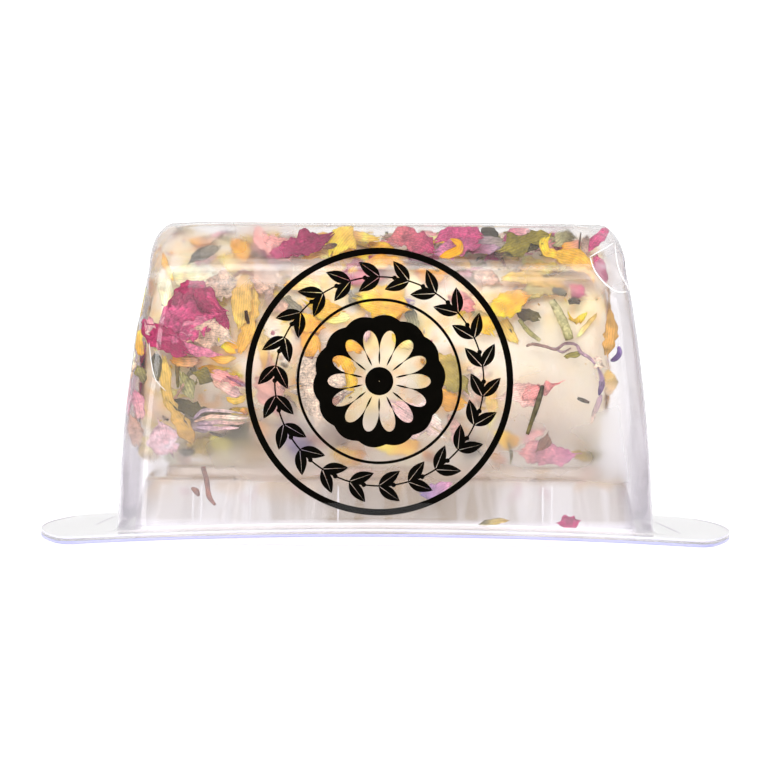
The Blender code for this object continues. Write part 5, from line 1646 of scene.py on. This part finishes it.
def plant_tissue(name, ridge, depth, mottle, roughness, contrast=1.0):
    """Dried plant tissue. Its colour comes with each piece; ridges run along it, that many mm apart,
    and a finer mottle and crossing creases lie over them, with that much contrast. The creases are
    painted shade, and the rim is darkened, partly browned and partly painted shade."""
    made, tree = new_material(name)
    colour = add(tree, "Attribute", attribute_name="tissue").outputs["Color"]
    grain = add(tree, "Attribute", attribute_name="grain").outputs["Vector"]
    place = add(tree, "TexCoord").outputs["Object"]
    ridges = add(tree, "TexWave", [
        ("Vector", grain), ("Scale", math.pi / (10 * ridge)), ("Distortion", 2.5), ("Detail", 2.0),
        ("Detail Scale", 1.2)], bands_direction="Y")
    cloud = add(tree, "TexNoise", [("Vector", place), ("Scale", per_metre(mottle)), ("Detail", 4.0)])
    lined = add(tree, "MapRange", [
        ("Value", ridges.outputs["Fac"]), (1, 0.0), (2, 1.0), (3, 1 - depth), (4, 1 + depth)])
    clouded = add(tree, "MapRange", [
        ("Value", cloud), (1, 0.3), (2, 0.7), (3, 1 - 0.3 * contrast), (4, 1 + 0.3 * contrast)])
    # Painted shade: crossing creases drawn as dark lines in the colour.
    crease_lines = add(tree, "TexNoise", [("Vector", place), ("Scale", per_metre(2.2)), ("Detail", 2.0)])
    off_crease = add(tree, "Math", [(0, crease_lines), (1, 0.5)], operation="SUBTRACT")
    gap = add(tree, "Math", [(0, off_crease)], operation="ABSOLUTE")
    crease_shade = add(tree, "MapRange", [
        ("Value", gap), (1, 0.0), (2, 0.03), (3, 1 - 0.26 * contrast), (4, 1.0)])
    # The rim is darkened: partly the browning of a dried edge, partly painted shade outlining each piece.
    rim = add(tree, "SeparateXYZ", [("Vector", grain)])
    browned_and_shaded_rim = add(tree, "MapRange", [("Value", rim.outputs[2]), (1, 0.72), (2, 1.0), (3, 1.0), (4, 0.86)])
    ribbed = add(tree, "Math", [(0, lined), (1, clouded)], operation="MULTIPLY")
    edged = add(tree, "Math", [(0, crease_shade), (1, browned_and_shaded_rim)], operation="MULTIPLY")
    factor = add(tree, "Math", [(0, ribbed), (1, edged)], operation="MULTIPLY")
    toned = add(tree, "VectorMath", [(0, colour), ("Scale", factor)], operation="SCALE")
    height = add(tree, "Math", [(0, ridges.outputs["Fac"]), (1, cloud)], operation="ADD")
    bump = add(tree, "Bump", [("Height", height), ("Strength", 0.3), ("Distance", 0.12 * MM)])
    shader = add(tree, "BsdfPrincipled", [
        ("Base Color", toned), ("Roughness", roughness), ("IOR", 1.45),
        ("Normal", bump)])
    through = add(tree, "BsdfTranslucent", [("Color", toned)])
    leaf = add(tree, "MixShader", [(0, 0.3), (1, shader), (2, through)])
    add(tree, "OutputMaterial", [("Surface", leaf)])
    return made


def plant_finishes():
    """The finish of each kind of dried plant."""
    return {
        "rose": plant_tissue("pressed_rose_petal", 0.4, 0.1, 0.5, 0.62, 1.1),
        "pink": plant_tissue("crinkled_pink_petal", 0.4, 0.14, 0.45, 0.65, 0.8),
        "straw": plant_tissue("papery_dried_floret", 0.45, 0.08, 0.4, 0.8, 1.3),
        "marigold": plant_tissue("dried_calendula_ray", 0.42, 0.12, 0.8, 0.5, 0.35),
        "cornflower": plant_tissue("shrivelled_cornflower", 0.35, 0.2, 0.5, 0.6),
        "leaf": plant_tissue("dried_herb_leaf", 0.5, 0.18, 0.35, 0.7),
        "stem": plant_tissue("dried_herb_stem", 0.3, 0.22, 0.6, 0.65),
        "seed": plant_tissue("dried_seed_husk", 0.35, 0.25, 0.4, 0.6),
        "crumb": plant_tissue("petal_and_curd_crumbs", 0.8, 0.05, 0.5, 0.6),
    }


# Stage, light and camera


def make_floor():
    """A plain white sweep under the pack."""
    made, tree = new_material("white_floor")
    shader = add(tree, "BsdfPrincipled", [
        ("Base Color", linear("FCFCFC")), ("Roughness", 0.8), ("Emission Color", linear("FFFFFF")),
        ("Emission Strength", 0.25)])
    add(tree, "OutputMaterial", [("Surface", shader)])
    mesh = bpy.data.meshes.new("floor")
    reach, drop = 3.0, -0.0001
    corners = [(x * reach, y * reach, drop) for x, y in ((-1, -1), (1, -1), (1, 1), (-1, 1))]
    mesh.from_pydata(corners, [], [(0, 1, 2, 3)])
    mesh.materials.append(made)
    floor = bpy.data.objects.new("floor", mesh)
    bpy.context.scene.collection.objects.link(floor)


def look_at(obj, target, roll=0.0):
    """Turns a camera or a lamp towards a point in metres."""
    way = Vector(target) - obj.location
    turn = way.to_track_quat("-Z", "Y")
    obj.rotation_mode = "QUATERNION"
    obj.rotation_quaternion = turn @ Quaternion((0, 0, 1), roll)


# Place, height aimed at, width and height in metres, and radiance
SOFT_BOXES = (
    ("soft_box_front", (-0.2, -0.66, 0.7), 0.03, 0.9, 0.6, 1.4),
    ("soft_box_left", (-0.46, -0.75, 0.22), 0.03, 0.24, 0.5, 2.9),
    ("soft_box_low", (-0.25, -0.8, 0.05), 0.02, 0.8, 0.09, 0.7),
    ("soft_box_right", (0.75, -0.5, 0.4), 0.03, 0.3, 0.5, 1.4),
)


def soft_box(name, place, target, width, height, radiance):
    """A studio soft box: a rectangle that shines evenly."""
    lamp = bpy.data.lights.new(name, "AREA")
    lamp.shape = "RECTANGLE"
    lamp.size, lamp.size_y = width, height
    lamp.energy = radiance * math.pi * width * height
    made = bpy.data.objects.new(name, lamp)
    bpy.context.scene.collection.objects.link(made)
    made.location = place
    look_at(made, target)


def make_light():
    """A white studio: bright all round, a little lavender and dimmer to both sides."""
    world = bpy.data.worlds.new("studio")
    bpy.context.scene.world = world
    world.use_nodes = True
    tree = world.node_tree
    tree.nodes.clear()
    way = add(tree, "TexCoord").outputs["Generated"]
    parts = add(tree, "SeparateXYZ", [("Vector", way)])
    sideways = add(tree, "Math", [(0, parts.outputs[0])], operation="ABSOLUTE")
    share = add(tree, "MapRange", [("Value", sideways), (1, 0.35), (2, 0.95), (3, 0.0), (4, 1.0)])
    tone = add(tree, "Mix", [
        (0, share), (6, linear("FFFFFF")), (7, linear("CFCAD8"))], data_type="RGBA").outputs[2]
    to_back_way, up_way = parts.outputs[1], parts.outputs[2]
    above = add(tree, "MapRange", [("Value", up_way), (1, 0.3), (2, 0.5), (3, 0.08), (4, 2.9)])
    beside = add(tree, "MapRange", [("Value", up_way), (1, 0.1), (2, 0.5), (3, 0.5), (4, 1.3)])
    zenith = add(tree, "MapRange", [("Value", up_way), (1, 0.84), (2, 0.97), (3, 1.0), (4, 0.05)])
    to_side = add(tree, "MapRange", [("Value", to_back_way), (1, -0.75), (2, -0.3), (3, 0.0), (4, 1.0)])
    to_back = add(tree, "MapRange", [("Value", to_back_way), (1, 0.4), (2, 0.85), (3, 0.0), (4, 1.0)])
    round_front = add(tree, "Mix", [(0, to_side), (2, above), (3, beside)])
    overhead = add(tree, "Math", [(0, round_front), (1, zenith)], operation="MULTIPLY")
    outside = add(tree, "Mix", [(0, to_back), (2, overhead), (3, 1.0)])
    path = add(tree, "LightPath")
    level = add(tree, "Mix", [(0, path.outputs["Is Transmission Ray"]), (2, outside), (3, 1.12)])
    dimmed = add(tree, "VectorMath", [(0, tone), ("Scale", level)], operation="SCALE")
    studio = add(tree, "Background", [("Color", dimmed), ("Strength", 1.0)])
    white = add(tree, "Background", [("Color", linear("FFFFFF")), ("Strength", 1.3)])
    seen = path.outputs["Is Camera Ray"]
    mixed = add(tree, "MixShader", [(0, seen), (1, studio), (2, white)])
    add(tree, "OutputWorld", [("Surface", mixed)])
    for name, place, aim, width, height, radiance in SOFT_BOXES:
        soft_box(name, place, (0, 0, aim), width, height, radiance)


def make_camera():
    """The photo's view: level with the pack's shoulder, from about 0.6 m."""
    lens = bpy.data.cameras.new("camera")
    lens.lens = CAMERA_LENS
    lens.sensor_width = 36.0
    lens.clip_start, lens.clip_end = 0.01, 20.0
    camera = bpy.data.objects.new("camera", lens)
    bpy.context.scene.collection.objects.link(camera)
    camera.location = [v * MM for v in CAMERA_PLACE]
    look_at(camera, [v * MM for v in CAMERA_TARGET], CAMERA_ROLL)
    bpy.context.scene.camera = camera
    bpy.context.scene.view_settings.view_transform = "Standard"


def main():
    outside = polished_pet("polished_pet_film")
    make_cover(outside, fogged_pet(), cut_pet_edge("die_cut_cover_edge", "EFEEFD"))
    make_tray(outside, smeared_and_shaded_pet("smeared_and_shaded_pet_tray"), cut_pet_edge("die_cut_tray_edge", "BFBFEC"))
    make_cheese(fresh_curd())
    finishes = plant_finishes()
    heaps = {kind: Gathered() for kind in KINDS}
    make_front_pieces(heaps, finishes)
    scatter(heaps)
    thicken_top(heaps)
    for kind, heap in heaps.items():
        heap.make(f"scattered_{kind}", finishes[kind], KINDS[kind][5], thickness_of(kind))
    make_crumbs(finishes["crumb"])
    make_print(printing_ink())
    make_folds(whitened_and_highlight_pet(), cut_pet_edge("scored_pet_line", "D2CBD8"))
    make_floor()
    make_light()
    make_camera()


main()
